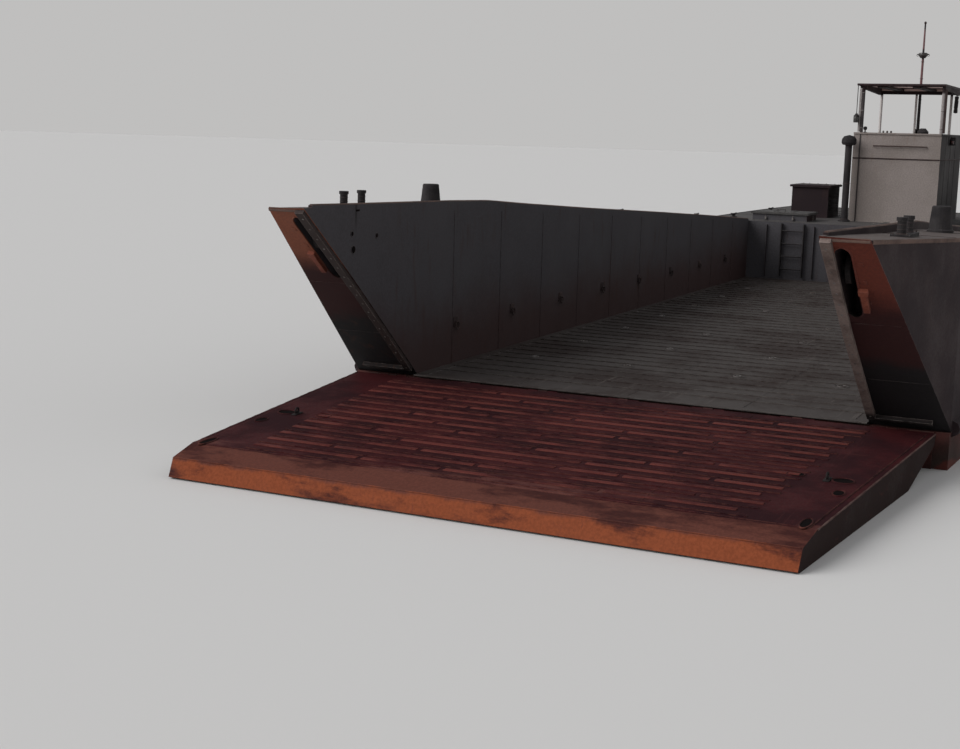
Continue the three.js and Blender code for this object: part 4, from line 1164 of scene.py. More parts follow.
def makeBulkhead(look):
    x, (wide, tall) = look["x"], look["half"]
    ahead = turnAbout("Y", 90)
    head = moved(bolt(*look["bolt"]), turn=ahead)
    plates, bolts = [], []
    for y, z in look["covers"]:
        plates.append(moved(lathe(look["cover"], 40), (x - 0.001, y, z), ahead, scale=(tall, wide, 1)))
        plates.append(rod(np.add(look["handle"], (x, y, z)), look["handleBar"]))
        radii = (wide - look["boltInset"], tall - look["boltInset"])
        bolts.append(boltRing(head, (x + 0.012, y, z), radii, look["bolts"]))
    plates += [slab(look["stiffener"], (x + 0.024, y, look["stiffenerZ"])) for y in look["stiffeners"]]
    makePiece("bulkheadPlates", plates, "sternPaint")
    makePiece("bulkheadBolts", bolts, "wornSteel")


makeBulkhead(bulkhead)
print("well dressed")

# Tops of the wings: seams across them, a rounded rim on the coaming, the pale gunwale that runs
# along the outer edge and across the bow face, and low cleats
wingTops = {
    "x": np.arange(-3.6, 9.6, 1.22), "seamBead": 0.005, "after": -4.42, "points": 60,
    "rim": 0.019, "rimDrop": 0.006, "coaming": 0.04, "coamingEnd": 10.55, "gunwale": (0.036, 0.007),
    "gunwaleRise": 0.002, "bowEnd": 10.64, "bowY": 2.36,
}
wingCleat = {
    "x": (5.2, 1.4, -2.4), "inset": 0.36, "base": (0.15, 0.07, 0.016), "baseZ": 0.006,
    "leg": [(0, 0), (0.020, 0), (0.015, 0.02), (0.015, 0.045), (0, 0.045)], "legs": 0.038,
    "legZ": 0.008, "half": 0.12, "armZ": 0.052, "curve": 0.4, "bar": 0.013,
}


def wingTop(x, y):
    return landing("wing_wall_port", (x, y, 5), (0, 0, -1))[2]


# Half widths of the wing's inner and outer side at x, just under its top
def wingSides(x):
    z = wingTop(x, 2.5) - 0.04
    return [landing("wing_wall_port", (x, y, z), (0, direction, 0))[1]
            for y, direction in ((0, 1), (5, -1))]


# Cleat on a deck: a base, two legs and an arm whose ends rise with the square of the distance out
def makeCleat(top, look):
    base = slab(look["base"], top + (0, 0, look["baseZ"]), edge=0.006)
    legs = [moved(lathe(look["leg"], 14), top + (dx, 0, look["legZ"]))
            for dx in (-look["legs"], look["legs"])]
    horn = np.linspace(-look["half"], look["half"], 15)
    arm = np.stack([horn, 0 * horn, look["armZ"] + look["curve"] * horn ** 2], axis=1)
    return [base, *legs, rod(top + arm, look["bar"], 10)]


def makeWingTops(look):
    tall, proud = look["gunwale"]
    seams, rim, edge, cleats = [], [], [], []
    for x in look["x"]:
        inner, outer = wingSides(x)
        ends = [(x, y, wingTop(x, y)) for y in (inner + look["coaming"] + 0.008, outer - 0.02)]
        seams.append(weld(*ends, look["seamBead"]))
    for x in np.linspace(look["after"], look["coamingEnd"], look["points"]):
        y = wingSides(x)[0] + look["coaming"] / 2
        rim.append((x, y, wingTop(x, y) - look["rimDrop"]))
    for x in np.linspace(look["after"], look["bowEnd"], look["points"]):
        y = wingSides(x)[1]
        edge.append((x, y, wingTop(x, y - 0.01) - tall / 2 + look["gunwaleRise"]))
    acrossBow = np.linspace(bow["outerAt"][1][2], look["bowY"], 8)
    face = faceAtHeight(bow["deckZ"] - tall / 2, acrossBow)
    profile = circle(1, 12) * (proud, tall / 2)
    bands = [strip(profile, edge), strip(profile, face), strip(circle(look["rim"], 10), rim)]
    for x in wingCleat["x"]:
        y = wingSides(x)[0] + wingCleat["inset"]
        cleats += makeCleat(np.array([x, y, wingTop(x, y)]), wingCleat)
    makePiece("wingSeams", bothSides(seams), "wingPaint")
    makePiece("gunwales", bothSides(bands), "gunwalePaint")
    makePiece("wingCleats", bothSides(cleats), "fittingPaint")


makeWingTops(wingTops)

# Outer sides: plate seams above and below the rubbing strake, and the stubs of the drain pipes, with
# a dark disc in each bore as painted shade
sides = {
    "x": np.arange(-10.2, 8.3, 1.55), "sternEnd": -4.45, "railZ": (1.295, 1.445), "foot": 1.02,
    "bead": 0.005, "pipes": [(-8.2, 1.85), (-5.2, 1.80), (0.6, 1.72), (4.6, 1.72)],
    "pipe": [(0, 0), (0.055, 0), (0.055, 0.010), (0.036, 0.014), (0.036, 0.06), (0.027, 0.06),
             (0.027, 0.02), (0, 0.02)],
    "bore": (0.027, 0.024, 20, 0.020),
}


# Half width of the craft at x and z, met from the port side
def sideAt(name, x, z):
    return landing(name, (x, 5, z), (0, -1, 0))[1]


def makeSides(look):
    seams, pipes, hollows = [], [], []
    outward = turnAbout("X", -90)
    for x in look["x"]:
        aft = x < look["sternEnd"]
        upper, lower = ("stern_hull",) * 2 if aft else ("wing_wall_port", "bottom_hull")
        top = landing(upper, (x, 2.9, 5), (0, 0, -1))[2]
        y = sideAt(upper, x, 1.9)
        seams.append(weld((x, y, look["railZ"][1] + 0.01), (x, y, top - 0.06), look["bead"], (1, 0, 0)))
        seams.append(weld((x, sideAt(lower, x, 1.1), look["railZ"][0] - 0.02),
                          (x, sideAt(lower, x, look["foot"]), look["foot"]), look["bead"],
                          (1, 0, 0)))
    for x, z in look["pipes"]:
        y = sideAt("stern_hull" if x < look["sternEnd"] else "wing_wall_port", x, z)
        pipes.append(moved(lathe(look["pipe"], 20), (x, y - 0.001, z), outward))
        hollows.append(moved(disc(*look["bore"]), (x, y, z), outward))
    makePiece("sideSeams", bothSides(seams), "hullPaint")
    makePiece("drainPipes", bothSides(pipes), "wornSteel")
    makePiece("drainHollowShades", bothSides(hollows), "blackAndHoleShade")


makeSides(sides)
print("wings and sides dressed")

# Pilothouse: the sizes that its pieces share
house = {"frontX": -5.87, "backX": -7.77, "screenX": -8.62, "half": 0.745, "boardY": -0.82,
         "top": 4.04, "deck": 2.4, "floor": 2.95, "wall": 0.03, "doorY": (-0.67, -0.12)}

# Dark half-round strake round the front and both sides, and the angle down the front wall's
# starboard corner
strake = {"z": 3.57, "half": 0.0125, "proud": 0.013, "sunk": 0.001, "bend": 0.01, "end": 0.004,
          "angle": (0.012, 0.022, 1.62), "anglePlace": (0.004, -0.697, 3.21)}


def makeStrake(look):
    front, back, half, z = house["frontX"], house["screenX"], house["half"], look["z"]
    turn = np.radians(np.linspace(-90, 90, 7))
    flat = [(-look["sunk"], look["half"] * 0.8), (-look["sunk"], -look["half"] * 0.8)]
    profile = np.concatenate([
        np.stack([look["proud"] * np.cos(turn), look["half"] * np.sin(turn)], axis=1), flat])
    bend, quarter = look["bend"], np.radians(np.linspace(0, 90, 7))
    corner = np.stack([front - bend + bend * np.cos(quarter), half - bend + bend * np.sin(quarter)],
                      axis=1)
    ahead = [(front, y) for y in np.linspace(house["boardY"] + look["end"], half - 2 * bend, 12)]
    port = [(x, half) for x in np.linspace(front - 2 * bend, back + look["end"], 12)]
    starboard = [(x, -half) for x in np.linspace(
        back + look["end"], front - house["wall"] - look["end"], 12)]
    paths = [np.concatenate([ahead, corner, port]), np.array(starboard)]
    strips = [strip(profile, np.c_[path, np.full(len(path), z)]) for path in paths]
    makePiece("houseStrake", strips, "trimPaint")
    angle = slab(look["angle"], np.add(look["anglePlace"], (front, 0, 0)))
    makePiece("frontAngle", [angle], "sidePaintedShade")


makeStrake(strake)

# Weld seams of the pilothouse: up its walls, at its corners and along its feet
houseWelds = {"sideX": (-6.5, -7.14, -7.77), "sideBead": 0.0035, "cornerBead": 0.006,
              "footBead": 0.008, "low": 0.02, "high": 0.04}


def makeHouseSeams(look):
    front, after, back = house["frontX"], house["screenX"], house["backX"]
    half, inside = house["half"], house["half"] - house["wall"]
    foot, top = house["deck"] + 0.004, house["top"] - look["high"]

    def upright(x, y, low, bead):
        return weld((x, y, house["deck"] + low), (x, y, top), bead, (1, 0, 0))

    def footWeld(start, end):
        return weld((*start, foot), (*end, foot), look["footBead"])

    sideSeams = [upright(x, side * (half + 0.001), look["low"], look["sideBead"])
                 for x in look["sideX"] for side in (1, -1)]
    for side in (1, -1):
        for (ax, ay), (bx, by) in (((front - 0.03, half), (after, half)),
                                   ((after, half), (after, half - 0.1)),
                                   ((back, inside), (after + 0.012, inside))):
            sideSeams.append(footWeld((ax, side * ay), (bx, side * by)))
    seams = [footWeld((front, house["boardY"]), (front, half)), footWeld((back, -inside), (back, inside))]
    seams += [upright(x, y, 0.03, look["cornerBead"])
              for x, y in ((back, -inside), (back, inside), (front, half))]
    makePiece("houseSeams", seams, "housePaint")
    makePiece("houseSideSeams", sideSeams, "sidePaintedShade")


makeHouseSeams(houseWelds)

# Trim round the doorway, stiffeners inside the walls, grips beside the door and bars of the step
door = {
    "trim": 0.035, "thick": 0.012, "ribs": (-6.45, -7.1), "rib": 0.05, "gripY": (0.12, -0.045),
    "grip": [(0, 0, 3.35), (-0.05, 0, 3.37), (-0.055, 0, 3.55), (-0.055, 0, 3.75),
             (-0.05, 0, 3.93), (0, 0, 3.95)],
    "gripBar": 0.010, "stepBar": (0.02, 0.5, 0.006), "stepZ": 2.6815,
    "stepDepths": np.arange(0.03, 0.25, 0.035),
}


def makeDoor(look):
    x, (left, right), trim = house["backX"], house["doorY"], look["trim"]
    low, high = house["floor"], house["top"]
    tall, middle, across = high - low, (low + high) / 2, (left + right) / 2
    parts = [slab((look["thick"], trim, tall - 0.06), (x - 0.005, y, middle - 0.02))
             for y in (left - trim / 2, right + trim / 2)]
    parts.append(slab((look["thick"], right - left + 2 * trim, trim), (x - 0.005, across, low - 0.048)))
    ribY = house["half"] - house["wall"] - 0.005
    parts += [slab((look["rib"], look["thick"], tall - 0.08), (rib, side * ribY, middle - 0.01))
              for rib in look["ribs"] for side in (1, -1)]
    makePiece("doorTrim", parts, "housePaint")
    grips = [rod(np.add(look["grip"], (x, y, 0)), look["gripBar"], 10, (0, 1, 0))
             for y in (right + look["gripY"][0], left + look["gripY"][1])]
    treads = [slab(look["stepBar"], (x - depth, across, look["stepZ"]), edge=0.002)
              for depth in look["stepDepths"]]
    makePiece("doorGrips", grips + treads, "trimPaint")


makeDoor(door)

# Helm: dials with bezels, glass and a needle each on the console's slope, levers and switches on
# its top, and the ribbed grip of the wheel
helm = {
    "dials": [(-0.40, 0.075), (-0.22, 0.055), (0.22, 0.055), (0.40, 0.075)],
    "slopeFrom": (-6.08, 3.90), "slopeTo": (-6.32, 3.76), "bezelZ": (0, 0, 0.014, 0.020, 0.014),
    "bezelShares": (0.82, 1, 1, 0.94, 0.82), "faceShare": 0.85, "faceTop": 0.006,
    "glass": [(0, 0.0105), (0.83, 0.0105), (0.83, 0.012), (0, 0.013)],
    "needle": (0.72, 0.005, 0.0015), "needleAt": (0.28, 0.0082), "tick": (0.13, 0.0028, 0.0012),
    "tickAt": (0.7, 0.0066), "ticks": 9, "tickFromDeg": -30, "tickStepDeg": 30,
    "levers": (-0.32, -0.25, -0.18), "leverX": -6.01, "top": 3.90, "leverFoot": (0.11, 0.03, 0.016),
    "lever": [(0, 0, 0), (-0.02, 0, 0.10), (-0.035, 0, 0.15)], "leverBar": 0.007,
    "knob": [(0, -0.022), (0.014, -0.018), (0.020, 0), (0.014, 0.018), (0, 0.022)],
    "knobAt": (-0.037, 0, 0.158), "switchX": -5.985, "switches": 0.02 + 0.045 * np.arange(6),
    "switch": [(0, 0), (0.013, 0), (0.013, 0.006), (0.005, 0.008), (0.004, 0.03), (0, 0.032)],
}
grip = {
    "x": -6.38, "z": 3.68, "radius": 0.23, "thick": 0.0185, "rib": 0.0012, "ribs": 60,
    "rows": 150, "sides": 10, "knobX": -6.404,
    "knob": [(0, 0), (0.02, 0.002), (0.026, 0.012), (0.018, 0.02), (0, 0.022)],
}


def makeHelm(look):
    (ax, az), (bx, bz) = look["slopeFrom"], look["slopeTo"]
    turn = turnAbout("Y", -math.degrees(math.atan2(az - bz, ax - bx)))
    metal, faces, glasses, marks = [], [], [], []
    for y, radius in look["dials"]:
        place = np.array([(ax + bx) / 2, y, (az + bz) / 2])
        bezel = lathe(np.c_[np.array(look["bezelShares"]) * radius, look["bezelZ"]], 32)
        bezel = bezel[0], np.concatenate([bezel[1], gridFaces(5, 32, True, True)[-32:]])
        metal.append(moved(bezel, place, turn))
        faces.append(moved(disc(radius * look["faceShare"], look["faceTop"], 32), place, turn))
        glasses.append(moved(lathe(np.multiply(look["glass"], (radius, 1)), 32), place, turn))
        share, wide, thick = look["needle"]
        out, rise = look["needleAt"]
        needle = slab((radius * share, wide, thick), (radius * out, 0, rise), edge=0.0007)
        marks.append(moved(needle, place, turn @ turnAbout("Z", 35 + 400 * y)))
        share, wide, thick = look["tick"]
        out, rise = look["tickAt"]
        tick = slab((radius * share, wide, thick), (radius * out, 0, rise), edge=0.0005)
        for k in range(look["ticks"]):
            angle = look["tickFromDeg"] + look["tickStepDeg"] * k
            marks.append(moved(tick, place, turn @ turnAbout("Z", angle)))
    for y in look["levers"]:
        foot = np.array([look["leverX"], y, look["top"]])
        metal += [slab(look["leverFoot"], foot), rod(foot + look["lever"], look["leverBar"]),
                  moved(lathe(look["knob"], 16), foot + look["knobAt"])]
    metal += [moved(lathe(look["switch"], 12), (look["switchX"], y, look["top"]))
              for y in look["switches"]]
    makePiece("helmFittings", metal, "wornSteel")
    makePiece("dialFaces", faces, "blackAndHoleShade")
    makePiece("dialMarks", marks, "dialWhite")
    makePiece("dialGlass", glasses, "clearGlass")


# Torus round X whose thickness waves along it: thick + rib * sin(ribs * a)
def makeGrip(look):
    rows, sides = look["rows"], look["sides"]
    a = np.arange(rows)[:, None] * 2 * np.pi / rows
    b = np.arange(sides)[None, :] * 2 * np.pi / sides
    thick = look["thick"] + look["rib"] * np.sin(a * look["ribs"])
    reach = look["radius"] + thick * np.cos(b)
    points = np.stack([look["x"] + thick * np.sin(b) + 0 * a, reach * np.cos(a),
                       look["z"] + reach * np.sin(a)], axis=-1).reshape(-1, 3)
    rim = points, gridFaces(rows, sides, True, True)
    knob = moved(lathe(look["knob"], 20), (look["knobX"], 0, look["z"]), turnAbout("Y", -90))
    makePiece("wheelGrip", [rim, knob], "fittingPaint", "wheel")


makeHelm(helm)
makeGrip(grip)

# Lamps: glass and guards of the side lights, the lantern and the masthead light, the small lamp on
# the front wall, and the cable and bands of the mast
lamps = {
    "side": (-6.948, 0.7913, 3.898), "sideRadius": 0.034, "sideHoops": (-0.034, 0.034, 0.045),
    "lantern": (-5.825, -0.785, 4.28), "lanternDrop": 0.005, "guard": 0.048, "guardBar": 0.0035,
    "guardDeg": (20, 110, 200, 290), "guardZ": (-0.062, 0, 0.064), "guardHoops": (-0.06, 0.062),
    "masthead": (-7.9, 0, 5.576), "front": (-5.876, -0.62, 4.04),
    "frontShape": [(0, 0), (0.032, 0), (0.032, 0.006), (0.012, 0.010), (0.012, 0.04),
                   (0.030, 0.052), (0.036, 0.075), (0.030, 0.102), (0, 0.11)],
}
mastTrim = {
    "x": -7.9, "cable": (0.036, 0.003, 9), "cableY": 0.012, "cableZ": (4.2, 5.48),
    "cableRadius": 0.005, "clips": (4.3, 4.7, 5.1, 5.42), "clip": (0.036, 0.009, 1.8),
    "stays": (0.019, 0.1, 5.545), "bar": 0.004, "topZ": 6.166,
    "top": [(0, -0.03), (0.02, -0.03), (0.024, -0.01), (0.024, 0.0), (0, 0.012)],
}


# Hollow glass band: an outer profile, and a plain inner wall that joins its ends
def lens(outer, inner, sides):
    wall = [(inner, outer[-1][1]), (inner, outer[0][1])]
    return joined([lathe(outer, sides), lathe(wall, sides)])


def makeLamps(look):
    x, y, z = look["side"]
    r = look["sideRadius"]
    glass = lens([(r + 0.0005, -0.030), (r + 0.0025, -0.025), (r + 0.0025, 0.025),
                  (r + 0.0005, 0.030)], r + 0.0002, 32)
    makePiece("portLens", [moved(glass, (x, y, z))], "redGlass")
    makePiece("starboardLens", [moved(glass, (x, -y, z))], "greenGlass")
    parts = bothSides([hoop(r + 0.001, 0.0035, (x, y, z + dz)) for dz in look["sideHoops"]])
    lx, ly, lz = look["lantern"]
    band = lens([(0.0425, -0.042), (0.0445, -0.036), (0.0445, 0.036), (0.0425, 0.042)], 0.0422, 28)
    makePiece("lanternGlass", [moved(band, (lx, ly, lz - look["lanternDrop"]))], "lampGlass")
    band = lens([(0.0862, -0.040), (0.0885, -0.034), (0.0885, 0.0), (0.0862, 0.004)], 0.0858, 32)
    makePiece("mastLens", [moved(band, look["masthead"])], "lampGlass", "folding_mast")
    for angle in np.radians(look["guardDeg"]):
        gx, gy = lx + look["guard"] * math.cos(angle), ly + look["guard"] * math.sin(angle)
        parts.append(rod([(gx, gy, lz + dz) for dz in look["guardZ"]], look["guardBar"], 6, (1, 0, 0)))
    parts += [hoop(look["guard"], 0.004, (lx, ly, lz + dz), None, 24, 6) for dz in look["guardHoops"]]
    parts.append(moved(lathe(look["frontShape"], 20), look["front"]))
    makePiece("lampFittings", parts, "fittingPaint")


def makeMastTrim(look):
    x, bar = look["x"], look["bar"]
    off, sway, rate = look["cable"]
    heights = np.linspace(*look["cableZ"], 24)
    cable = np.stack([x - off + sway * np.sin(rate * heights), 0 * heights + look["cableY"],
                      heights], axis=1)
    wide, taper, rise = look["clip"]
    clips = [hoop(wide - taper * (h - look["clips"][0]) / rise, bar, (x, 0, h), None, 24, 6)
             for h in look["clips"]]
    radius, out, z = look["stays"]
    stays = [hoop(radius, bar, (x, side * out, z), turnAbout("Y", 90), 20, 6) for side in (1, -1)]
    top = moved(lathe(look["top"], 16), (x, 0, look["topZ"]))
    parts = [rod(cable, look["cableRadius"], 8, (1, 0, 0)), *clips, *stays, top]
    makePiece("mastCable", parts, "trimPaint", "folding_mast")


makeLamps(lamps)
makeMastTrim(mastTrim)
print("pilothouse dressed")

# Canvas roof: one sheet over the frame, sagging between its bows, with its edges turned down.
# z = top - the sag of the bay, the square of a half sine across it - the fall past the edge
roof = {
    "x": (-7.825, -5.815), "y": (-0.80, 0.765), "top": 4.9225, "hang": 0.030, "sag": 0.010,
    "thick": 0.003, "bows": (-0.365, 0.25), "rows": (120, 110), "wave": 0.004, "out": 0.0015,
    "edgeDrop": 0.0035, "edgeReach": 0.006,
}


def makeRoof(look):
    (x0, x1), (y0, y1) = look["x"], look["y"]
    length, width, hang, thick = x1 - x0, y1 - y0, look["hang"], look["thick"]
    rows, columns = look["rows"]
    u, v = np.linspace(-hang, length + hang, rows), np.linspace(-hang, width + hang, columns)
    over = np.maximum(np.maximum(-u, u - length)[:, None], np.maximum(-v, v - width)[None, :])
    over = np.maximum(over, 0)
    x = (x0 + np.clip(u, 0, length))[:, None] + 0 * v[None, :]
    y = (y0 + np.clip(v, 0, width))[None, :] + 0 * u[:, None]
    edges = np.array([y0, *look["bows"], y1])
    bay = np.clip(np.searchsorted(edges, y, side="right") - 1, 0, len(edges) - 2)
    share = np.clip((y - edges[bay]) / (edges[bay + 1] - edges[bay]), 0, 1)
    lengthwise = np.clip((x - x0) / length, 0, 1)
    sag = look["sag"] * np.sin(np.pi * share) ** 2 * np.sin(np.pi * lengthwise) ** 0.5
    fall = np.clip(over / hang, 0, 1)
    wave = look["wave"] * (np.sin(x * 23 + 2 * y) + np.sin(y * 31)) * fall
    z = look["top"] - sag - over - look["edgeDrop"] * np.clip(over / look["edgeReach"], 0, 1)
    signU, signV = (u > length).astype(float) - (u < 0), (v > width).astype(float) - (v < 0)
    outX, outY = (sign * (look["out"] + wave) for sign in (signU[:, None], signV[None, :]))
    outer = np.stack([x + outX, y + outY, z], axis=-1).reshape(-1, 3)
    inward = -thick * np.stack([np.sign(outX), np.sign(outY), np.ones(x.shape)], axis=-1)
    inner = outer + inward.reshape(-1, 3)
    faces, count = gridFaces(rows, columns), rows * columns
    edge = np.concatenate([np.arange(columns), np.arange(1, rows) * columns + columns - 1,
                           (rows - 1) * columns + np.arange(columns - 2, -1, -1),
                           np.arange(rows - 2, 0, -1) * columns])
    nextEdge = np.roll(edge, -1)
    rim = np.stack([edge, nextEdge, nextEdge + count, edge + count], axis=1)
    shell = np.concatenate([outer, inner]), np.concatenate([faces, faces[:, ::-1] + count, rim])
    piece = makePiece("canopySheet", [shell], "canvas", sharp=60)
    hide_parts("roof_canopy")


makeRoof(roof)

# Battens beside the forward posts: the pale one to starboard is painted light for the lit side of its
# post, and the dark one to port is painted shade for the shaded side of its post
battens = {
    "x": -5.885, "size": (0.034, 0.040, 0.78), "z": 4.44, "clips": (4.12, 4.44, 4.76),
    "clip": (0.0300, 0.0035),
    "sides": {"postBattenPaintedLight": (-0.740, -0.690, "battenPaintedLight"),
              "postBattenPaintedShade": (0.7755, 0.730, "trimPaint")},
}


def makeBattens(look):
    for name, (y, post, paint) in look["sides"].items():
        parts = [slab(look["size"], (look["x"], y, look["z"]), edge=0.006)]
        parts += [hoop(*look["clip"], (look["x"], post, z), None, 28, 6) for z in look["clips"]]
        makePiece(name, parts, paint)


makeBattens(battens)

# Side curtain, rolled and tied, hanging from the beam at the after port corner. Its radius narrows
# at each tie by a bell curve, and waves round it and along it
curtain = {
    "place": (-7.70, 0.712), "z": (4.445, 4.772), "radius": 0.037, "ties": (4.53, 4.70),
    "tieReach": 0.014, "pinch": 0.22, "waves": ((0.07, 5, 9), (0.05, 3, -14)), "rows": 44,
    "sides": 30, "strap": 0.006, "strapShare": 0.82, "hanger": 0.008,
}


def makeCurtain(look):
    x, y = look["place"]
    low, high = look["z"]
    heights = np.linspace(low, high, look["rows"])[:, None]
    a = np.arange(look["sides"]) * 2 * np.pi / look["sides"]
    tie = sum(np.exp(-((heights - at) / look["tieReach"]) ** 2) for at in look["ties"])
    waves = 1 + sum(size * np.sin(around * a + along * heights) for size, around, along in look["waves"])
    radius = look["radius"] * (1 - look["pinch"] * tie) * waves
    radius[[0, 1, -2, -1]] *= np.array([endScale, 0.8, 0.85, endScale])[:, None]
    points = np.stack([x + radius * np.cos(a), y + radius * np.sin(a), heights + 0 * a], axis=-1)
    body = points.reshape(-1, 3), gridFaces(look["rows"], look["sides"], False, True)
    roll = makePiece("curtainRoll", [body], "darkCanvas", sharp=60)
    straps = [hoop(look["radius"] * look["strapShare"], look["strap"], (x, y, at)) for at in look["ties"]]
    straps.append(rod([(x, y, high - 0.02), (x + 0.004, y + 0.004, high + 0.004)], look["hanger"],
                      8, (1, 0, 0)))
    makePiece("curtainStraps", straps, "trimPaint")


makeCurtain(curtain)
print("roof and curtain made")

# After deck: bolted manhole covers with a handle each, filler caps, cleats, plate seams, and a
# rounded toe bar round the deck
afterDeck = {
    "z": 2.4, "manholes": [(-8.6, 1.55), (-8.6, -1.55), (-10.3, 1.35), (-10.3, -1.35), (-5.2, 0.0)],
    "cover": [(0, -0.003), (0.27, -0.003), (0.27, 0.010), (0.264, 0.014), (0, 0.014)],
    "boltCircle": (0.23, 0.23), "bolts": 16, "bolt": (0.016, 0.012),
    "handle": [(0, -0.06, 0.012), (0, -0.05, 0.042), (0, 0.05, 0.042), (0, 0.06, 0.012)],
    "handleBar": 0.008, "fillers": [(-6.3, 2.55), (-9.2, 2.5)],
    "filler": [(0, -0.003), (0.07, -0.003), (0.07, 0.008), (0.052, 0.012), (0.052, 0.03),
               (0.046, 0.035), (0.018, 0.036), (0.016, 0.05), (0, 0.052)],
    "seams": np.arange(-10.4, -4.6, 1.3), "seamHalf": 3.02, "seamBead": 0.004,
    "toe": 0.014, "toeX": (-10.95, -4.5), "toeHalf": 2.95, "toeInset": 0.008,
}
deckCleat = {
    "x": (-8.1, -5.3), "y": 2.85, "base": (0.19, 0.09, 0.018), "baseZ": 0.007,
    "leg": [(0, 0), (0.026, 0), (0.019, 0.02), (0.019, 0.052), (0, 0.052)], "legs": 0.05,
    "legZ": 0.01, "half": 0.18, "armZ": 0.062, "curve": 0.3, "bar": 0.016,
}


def makeAfterDeck(look):
    z = look["z"]
    plates, bolts, caps = [], [], []
    for x, y in look["manholes"]:
        plates += [moved(lathe(look["cover"], 40), (x, y, z)),
                   rod(np.add(look["handle"], (x, y, z)), look["handleBar"])]
        bolts.append(boltRing(bolt(*look["bolt"]), (x, y, z + 0.013), look["boltCircle"],
                              look["bolts"], flat=True))
    for x, y in look["fillers"]:
        caps += [moved(lathe(look["filler"], 24), (x, side * y, z)) for side in (1, -1)]
    for x in deckCleat["x"]:
        for side in (1, -1):
            caps += makeCleat(np.array([x, side * deckCleat["y"], z]), deckCleat)
    bar = circle(look["toe"], 8)
    after, forward = look["toeX"]
    seams = [weld((x, -look["seamHalf"], z), (x, look["seamHalf"], z), look["seamBead"])
             for x in look["seams"]]
    seams.append(strip(bar, [(after, y, z + 0.004)
                             for y in np.linspace(-look["toeHalf"], look["toeHalf"], 24)]))
    for side in (1, -1):
        edge = [(x, landing("stern_hull", (x, 5 * side, 2.3), (0, -side, 0))[1]
                 - side * look["toeInset"], z - 0.003) for x in np.linspace(after, forward, 40)]
        seams.append(strip(bar, edge))
    makePiece("deckCovers", plates, "deckPaint")
    makePiece("deckBolts", bolts, "wornSteel")
    makePiece("deckFittings", caps, "fittingPaint")
    makePiece("deckSeamsAft", seams, "deckPaint")


makeAfterDeck(afterDeck)

# Hatches: dogs round each coaming, a weld at its foot, and beads and bars on each lid
hatchTrim = {
    "deckZ": 2.4, "lidTop": 2.555, "foot": 0.007, "off": 0.012, "dog": (0.03, 0.03, 0.05),
    "dogZ": 2.445, "nutZ": (2.455, 2.48, 2.505), "nutOut": (0, 0.006, 0.006), "nutBar": 0.006,
    "lidOver": 0.002, "bead": 0.005, "barShares": (0.33, 0.67), "barScale": (0.72, 1, 1),
    "hatches": {
        "lidTrimPort": (-5.55, -4.80, 1.35, 2.35, "port_engine_lid"),
        "lidTrimStarboard": (-5.55, -4.80, -2.35, -1.35, "starboard_engine_lid"),
        "lidTrimMiddle": (-9.70, -9.00, -0.35, 0.35, "lazarette_lid")},
}


# Beads of weld round a rectangle at a height
def roundWeld(x, y, z, bead):
    corners = [(x[0], y[0], z), (x[1], y[0], z), (x[1], y[1], z), (x[0], y[1], z)]
    return [weld(a, b, bead) for a, b in zip(corners, corners[1:] + corners[:1])]


def makeHatches(look):
    dogs, feet = [], []
    off, over = look["off"], look["lidOver"]
    for name, (x0, x1, y0, y1, body) in look["hatches"].items():
        feet += roundWeld((x0, x1), (y0, y1), look["deckZ"] + 0.003, look["foot"])
        middle = (x0 + x1) / 2
        places = [(x1 + off, y0 + (y1 - y0) * share, (1, 0)) for share in (0.25, 0.75)]
        places += [(middle, y0 - off, (0, -1)), (middle, y1 + off, (0, 1))]
        for x, y, (ox, oy) in places:
            px, py = x + off * ox, y + off * oy
            nut = [(px + out * ox, py + out * oy, z) for out, z in zip(look["nutOut"], look["nutZ"])]
            dogs += [slab(look["dog"], (px, py, look["dogZ"])), rod(nut, look["nutBar"], 8, (1, 0, 0))]
        lid = roundWeld((x0 - over, x1 + over), (y0 - over, y1 + over), look["lidTop"] + 0.0005,
                        look["bead"])
        bar = moved(block((x1 - x0 - 0.12, 0.02, 0.008), 0.003), scale=look["barScale"])
        lid += [moved(bar, (middle - 0.08, y0 + (y1 - y0) * share, look["lidTop"] + 0.003))
                for share in look["barShares"]]
        makePiece(name, lid, "deckPaint", body)
    makePiece("hatchDogs", dogs, "wornSteel")
    makePiece("hatchWelds", feet, "deckPaint")


makeHatches(hatchTrim)

# Intake boxes: a slanted blade in every louvre groove, bolts round the cover and a weld at the foot
intake = {
    "x": (-7.5, -6.5), "y": (1.35, 2.05), "firstBlade": 2.547, "pitch": 0.09, "count": 4,
    "blade": (0.83, 0.034, 0.004), "bladeInset": 0.006, "slantDeg": 38, "top": 3.02, "deck": 2.4,
    "bolt": (0.014, 0.011), "boltOut": 0.012, "foot": 0.007,
}


def makeIntakes(look):
    (x0, x1), (y0, y1) = look["x"], look["y"]
    out, top = look["boltOut"], look["top"]
    blade = block(look["blade"], 0.0015)
    blades = []
    for z in look["firstBlade"] + look["pitch"] * np.arange(look["count"]):
        for y, turn in ((y1 - look["bladeInset"], -1), (y0 + look["bladeInset"], 1)):
            blades.append(moved(blade, ((x0 + x1) / 2, y, z), turnAbout("X", turn * look["slantDeg"])))
    places = [(x, y, top) for x in np.linspace(x0 + 0.02, x1 - 0.02, 7) for y in (y0 - out, y1 + out)]
    places += [(x, y, top) for y in np.linspace(y0 + 0.1, y1 - 0.1, 4) for x in (x0 - out, x1 + out)]
    blades += roundWeld(look["x"], look["y"], look["deck"] + 0.003, look["foot"])
    makePiece("intakeBlades", bothSides(blades), "hullPaint")
    makePiece("intakeBolts", bothSides([copies(bolt(*look["bolt"]), places)]), "wornSteel")


makeIntakes(intake)

